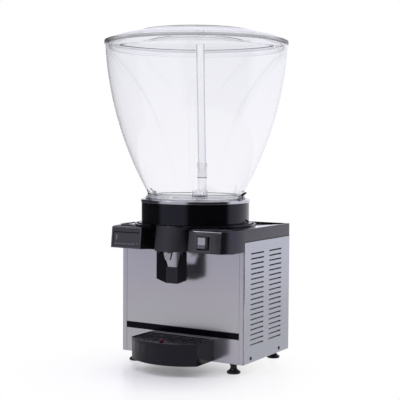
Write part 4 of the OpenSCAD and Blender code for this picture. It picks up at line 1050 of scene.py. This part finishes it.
def build_screws():
    """Low domed heads, two in each side panel."""
    low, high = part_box("panel_screws")
    radius, shank, sheet_x = 3.8, 1.7, 146
    head = rounded([(0, 1.6), (1.8, 1.5), (radius, 0.5, 0.8), (radius, 0), (shank, 0),
                    (shank, -6), (0, -6)])
    apart = (0, high.y - low.y - 2 * radius * MM, 0)
    meshes = []
    for side, _ in SIDES:
        bm = turned_bmesh(head, 32, Matrix.Rotation(side * math.pi / 2, 4, "Y"))
        first = (side * sheet_x * MM, low.y + radius * MM, (low.z + high.z) / 2)
        meshes.append(set_out(bm, first, apart, (0, 0, 0), 2, 1, "screw_black"))
    mesh = mesh_of(reopened(*meshes), "screws")
    finished("panel_screw_heads", mesh, "screw_black", ["panel_screws"])


# Drip tray and feet

def build_drip_tray():
    dressed("drip_tray", "tray_plastic", 0.9, 3, 40)
    dressed("drip_grid", "grid_plastic", 0.5, 2, 40)
    low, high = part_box("tray_float")
    z, top = low.z / MM, high.z / MM
    middle = (low + high) / 2
    button = rounded([(2.3, z), (11, z, 0.5), (12, z + 2, 0.5), (12, z + 11, 1), (4.2, z + 14, 0.5),
                      (4.2, top - 2.6, 1.6), (2.9, top - 0.7, 1.2), (0, top), (0, z + 13),
                      (2.3, z + 13)])
    piece("float_button", turned_bmesh(button, 48, Matrix.Translation((0, middle.y, 0))),
          "red_plastic", ["tray_float"], "float")


def build_feet():
    for name in ("foot_front_left", "foot_front_right", "foot_rear_left", "foot_rear_right"):
        low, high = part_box(name)
        middle = (low + high) / 2
        half = (high.x - low.x) / 2 / MM
        foot = rounded([(0, 0), (half - 1, 0, 0.8), (half, 1.5, 0.8), (half, 4, 1.5),
                        (half - 4, 6.5, 3), (7, 9.5, 3), (6.5, 15, 2), (8, 17, 0.8),
                        (8, 19.7, 0.5), (4, 19.7), (4, 31), (0, 31)])
        place = Matrix.Translation((middle.x, middle.y, 0))
        piece(name + "_skin", turned_bmesh(foot, 64, place), "foot_plastic",
              [name], name)


# Inside

def build_insides():
    coated("foam", "insulation")
    coated("copper", "evaporator_coil", "pipes", "filter_drier")
    coated("zinc_steel", "motor_bracket", "fan_shroud")
    coated("aluminium", "condenser", "drive_motor")
    coated("black_casting", "compressor", "fan_motor", "drive_magnet")
    coated("black_rubber", "compressor_mounts")
    coated("black_plastic", "fan")
    coated("board_lacquer", "control_board")


# Studio

def studio_camera():
    heading, pitch, roll = (math.radians(v) for v in (30.637, 3.130, 0.401))
    ahead = Vector((-math.sin(heading) * math.cos(pitch), math.cos(heading) * math.cos(pitch),
                    -math.sin(pitch)))
    right = Vector((math.cos(heading), math.sin(heading), 0))
    up = right.cross(ahead)
    x = right * math.cos(roll) + up * math.sin(roll)
    y = up * math.cos(roll) - right * math.sin(roll)
    view = Matrix((x, y, -ahead)).transposed().to_4x4()
    view.translation = Vector((1.0670, -1.7830, 0.4549))
    data = bpy.data.cameras.new("studio_camera")
    data.lens = 89.98
    data.sensor_width = 36
    made = in_scene("studio_camera", data)
    made.matrix_world = view
    bpy.context.scene.camera = made


def lamp(name, place, target, size, power, mirrored=False):
    data = bpy.data.lights.new(name, "AREA")
    data.shape = "RECTANGLE"
    data.size, data.size_y = size
    data.energy = power
    made = in_scene(name, data)
    made.location = place
    made.rotation_euler = (Vector(target) - Vector(place)).to_track_quat("-Z", "Y").to_euler()
    made.visible_glossy = mirrored
    made.visible_camera = False
    made.visible_transmission = False


def background(tree, colour, strength=1.0):
    return node(tree, "ShaderNodeBackground", {"Color": colour, "Strength": strength})


def studio_world():
    """White for the eye and through clear plastic; soft boxes and dark screens for reflections."""
    world = bpy.data.worlds.new("studio")
    world.use_nodes = True
    bpy.context.scene.world = world
    tree = world.node_tree
    tree.nodes.clear()
    direction = node(tree, "ShaderNodeTexCoord").outputs["Generated"]
    part = node(tree, "ShaderNodeSeparateXYZ", {0: direction}).outputs
    bearing = maths(tree, "ARCTAN2", part["X"], maths(tree, "MULTIPLY", part["Y"], -1.0))
    turn = ranged(tree, bearing, 0.0, 1.0, -math.pi, math.pi)
    ramp = node(tree, "ShaderNodeValToRGB", {0: turn})
    elements = ramp.color_ramp.elements
    # Bearing in degrees and brightness
    stops = [(-180, 1.0), (-138, 1.0), (-128, 0.05), (-54, 0.05), (-44, 0.72), (8, 0.72),
             (18, 0.03), (100, 0.03), (110, 1.0), (180, 1.0)]
    for degrees, level in stops:
        at = (degrees + 180) / 360
        stop = elements[0] if degrees == -180 else elements.new(at)
        stop.position = at
        stop.color = (level * 0.98, level * 0.97, level * 1.10, 1)
    while len(elements) > len(stops):
        elements.remove(elements[-1])
    overhead = ranged(tree, part["Z"], 0.0, 1.0, 0.55, 0.75)
    boxes = blended(tree, overhead, ramp.outputs[0], (0.92, 0.92, 0.93, 1))
    height = ranged(tree, part["Z"], 0.0, 1.0, -0.02, 0.11)
    backdrop = blended(tree, height, (0.99, 0.99, 1.0, 1), (0.90, 0.905, 0.94, 1))
    rays = node(tree, "ShaderNodeLightPath").outputs
    shown = background(tree, WHITE, 0.42)
    for kind, colour in (("Glossy", boxes), ("Transmission", backdrop), ("Camera", WHITE)):
        shown = mixed(tree, rays["Is " + kind + " Ray"], shown, background(tree, colour))
    output = node(tree, "ShaderNodeOutputWorld", {"Surface": shown.outputs[0]})
    output.is_active_output = True


def studio_floor():
    """A pale floor that keeps the object's shadow, lifted by painted light that is weakest under
    the tray's front, and runs out into white.
    """
    bm = bmesh.new()
    bmesh.ops.create_circle(bm, cap_ends=True, radius=1.25, segments=96)
    mesh = mesh_of(bm, "studio_floor")
    made, tree, shader, where = surface("studio_floor")
    skin = placed(tree, moulded_skin(), vector=where, grain=60.0)
    wired(tree, shader, {
        "Base Color": blended(tree, skin["Tone"], (0.78, 0.77, 0.85, 1), (0.80, 0.79, 0.87, 1)),
        "Roughness": ranged(tree, skin["Polish"], 0.22, 0.26)})
    # White mixed into the floor round this middle, for the eye, gloss and clear plastic, is painted
    # light that lifts the floor's shadow; further out it becomes the plain white floor.
    middle = (0.01, -0.12, 0.0)
    away = node(tree, "ShaderNodeVectorMath", {0: where, 1: middle},
                operation="DISTANCE").outputs["Value"]
    painted_light_near = ranged(tree, away, 0.16, 0.72, 0.03, 0.19, interpolation_type="SMOOTHSTEP")
    far = ranged(tree, away, 0.0, 0.28, 0.10, 0.36, interpolation_type="SMOOTHSTEP")
    rays = node(tree, "ShaderNodeLightPath").outputs
    seen = maths(tree, "MAXIMUM", rays["Is Camera Ray"], rays["Is Glossy Ray"])
    seen = maths(tree, "MAXIMUM", seen, rays["Is Transmission Ray"])
    white = node(tree, "ShaderNodeEmission", {
        "Color": WHITE, "Strength": ranged(tree, rays["Is Glossy Ray"], 1.0, 0.78)})
    painted_light_and_backdrop = maths(tree, "MULTIPLY", maths(tree, "ADD", painted_light_near, far), seen)
    shown = mixed(tree, painted_light_and_backdrop, shader, white)
    wired(tree, tree.nodes["Material Output"], {"Surface": shown.outputs[0]})
    mesh.materials.append(made)
    in_scene("studio_floor", mesh)


def build_stage():
    bpy.context.scene.view_settings.view_transform = "Standard"
    studio_camera()
    studio_world()
    studio_floor()
    lamp("top_box", (0.0, -0.1, 2.3), (0, 0, 0.3), (1.8, 1.8), 34)
    lamp("left_box", (-1.7, -1.5, 1.5), (0, 0, 0.35), (1.4, 1.4), 16)
    lamp("right_box", (1.9, 0.9, 1.5), (0, 0, 0.3), (1.4, 1.4), 14)
    lamp("edge_light", (-1.36, -1.34, 2.4), (0.09, -0.12, 0.29), (0.5, 0.6), 8, True)


# Operators

class DISPENSER_OT_stage(bpy.types.Operator):
    """Sets up the camera, the lamps, the world and the floor"""

    bl_idname = "dispenser.stage"
    bl_label = "Stage"

    def execute(self, context):
        build_stage()
        return {"FINISHED"}


class DISPENSER_OT_bowl_and_lid(bpy.types.Operator):
    """Builds the clear bowl and its lid"""

    bl_idname = "dispenser.bowl_and_lid"
    bl_label = "Bowl and lid"

    def execute(self, context):
        build_bowl()
        build_lid()
        return {"FINISHED"}


class DISPENSER_OT_spray_column(bpy.types.Operator):
    """Builds the pump housing, the sleeve and the spray tube in the bowl"""

    bl_idname = "dispenser.spray_column"
    bl_label = "Spray column"

    def execute(self, context):
        build_spray_column()
        return {"FINISHED"}


class DISPENSER_OT_plate_and_drum(bpy.types.Operator):
    """Builds the steel plate under the bowl and the black drum"""

    bl_idname = "dispenser.plate_and_drum"
    bl_label = "Plate and drum"

    def execute(self, context):
        build_plate_and_drum()
        return {"FINISHED"}


class DISPENSER_OT_latches(bpy.types.Operator):
    """Dresses the two bowl latches"""

    bl_idname = "dispenser.latches"
    bl_label = "Latches"

    def execute(self, context):
        build_latches()
        return {"FINISHED"}


class DISPENSER_OT_top_cover(bpy.types.Operator):
    """Builds the cover, the control fascia, the lamp and the rocker"""

    bl_idname = "dispenser.top_cover"
    bl_label = "Top cover"

    def execute(self, context):
        build_top_cover()
        build_rocker()
        build_fascia_ticks()
        return {"FINISHED"}


class DISPENSER_OT_tap(bpy.types.Operator):
    """Builds the hood, the lever and the nozzle"""

    bl_idname = "dispenser.tap"
    bl_label = "Tap"

    def execute(self, context):
        build_tap()
        return {"FINISHED"}


class DISPENSER_OT_cabinet(bpy.types.Operator):
    """Builds the steel panels, the louvres, the strip and the screws"""

    bl_idname = "dispenser.cabinet"
    bl_label = "Cabinet"

    def execute(self, context):
        build_panels()
        build_louvres()
        build_screws()
        return {"FINISHED"}


class DISPENSER_OT_drip_tray(bpy.types.Operator):
    """Builds the tray, the grid and the float"""

    bl_idname = "dispenser.drip_tray"
    bl_label = "Drip tray"

    def execute(self, context):
        build_drip_tray()
        return {"FINISHED"}


class DISPENSER_OT_feet(bpy.types.Operator):
    """Builds the four levelling feet"""

    bl_idname = "dispenser.feet"
    bl_label = "Feet"

    def execute(self, context):
        build_feet()
        return {"FINISHED"}


class DISPENSER_OT_inside(bpy.types.Operator):
    """Gives the cooling and the drive behind the panels their finishes"""

    bl_idname = "dispenser.inside"
    bl_label = "Inside"

    def execute(self, context):
        build_insides()
        return {"FINISHED"}


OPERATORS = [
    DISPENSER_OT_stage,
    DISPENSER_OT_bowl_and_lid,
    DISPENSER_OT_spray_column,
    DISPENSER_OT_plate_and_drum,
    DISPENSER_OT_latches,
    DISPENSER_OT_top_cover,
    DISPENSER_OT_tap,
    DISPENSER_OT_cabinet,
    DISPENSER_OT_drip_tray,
    DISPENSER_OT_feet,
    DISPENSER_OT_inside,
]


class DISPENSER_PT_sidebar(bpy.types.Panel):
    """Lists the dispenser's pieces, sizes and colours"""

    bl_label = "Cold drink dispenser"
    bl_idname = "DISPENSER_PT_sidebar"
    bl_space_type = "VIEW_3D"
    bl_region_type = "UI"
    bl_category = "Dispenser"

    def draw(self, context):
        for made in OPERATORS:
            self.layout.operator(made.bl_idname)
        for group in (context.scene.dispenser_sizes, context.scene.dispenser_colours):
            for key in group.bl_rna.properties.keys():
                if key not in ("rna_type", "name"):
                    self.layout.prop(group, key)


CLASSES = [DispenserSizes, DispenserColours, *OPERATORS, DISPENSER_PT_sidebar]


def register():
    for made in CLASSES:
        bpy.utils.register_class(made)
    bpy.types.Scene.dispenser_sizes = bpy.props.PointerProperty(type=DispenserSizes)
    bpy.types.Scene.dispenser_colours = bpy.props.PointerProperty(type=DispenserColours)


def unregister():
    del bpy.types.Scene.dispenser_colours
    del bpy.types.Scene.dispenser_sizes
    for made in reversed(CLASSES):
        bpy.utils.unregister_class(made)


def main():
    register()
    bpy.ops.dispenser.stage()
    bpy.ops.dispenser.bowl_and_lid()
    bpy.ops.dispenser.spray_column()
    bpy.ops.dispenser.plate_and_drum()
    bpy.ops.dispenser.latches()
    bpy.ops.dispenser.top_cover()
    bpy.ops.dispenser.tap()
    bpy.ops.dispenser.cabinet()
    bpy.ops.dispenser.drip_tray()
    bpy.ops.dispenser.feet()
    bpy.ops.dispenser.inside()


if __name__ == "__main__":
    main()
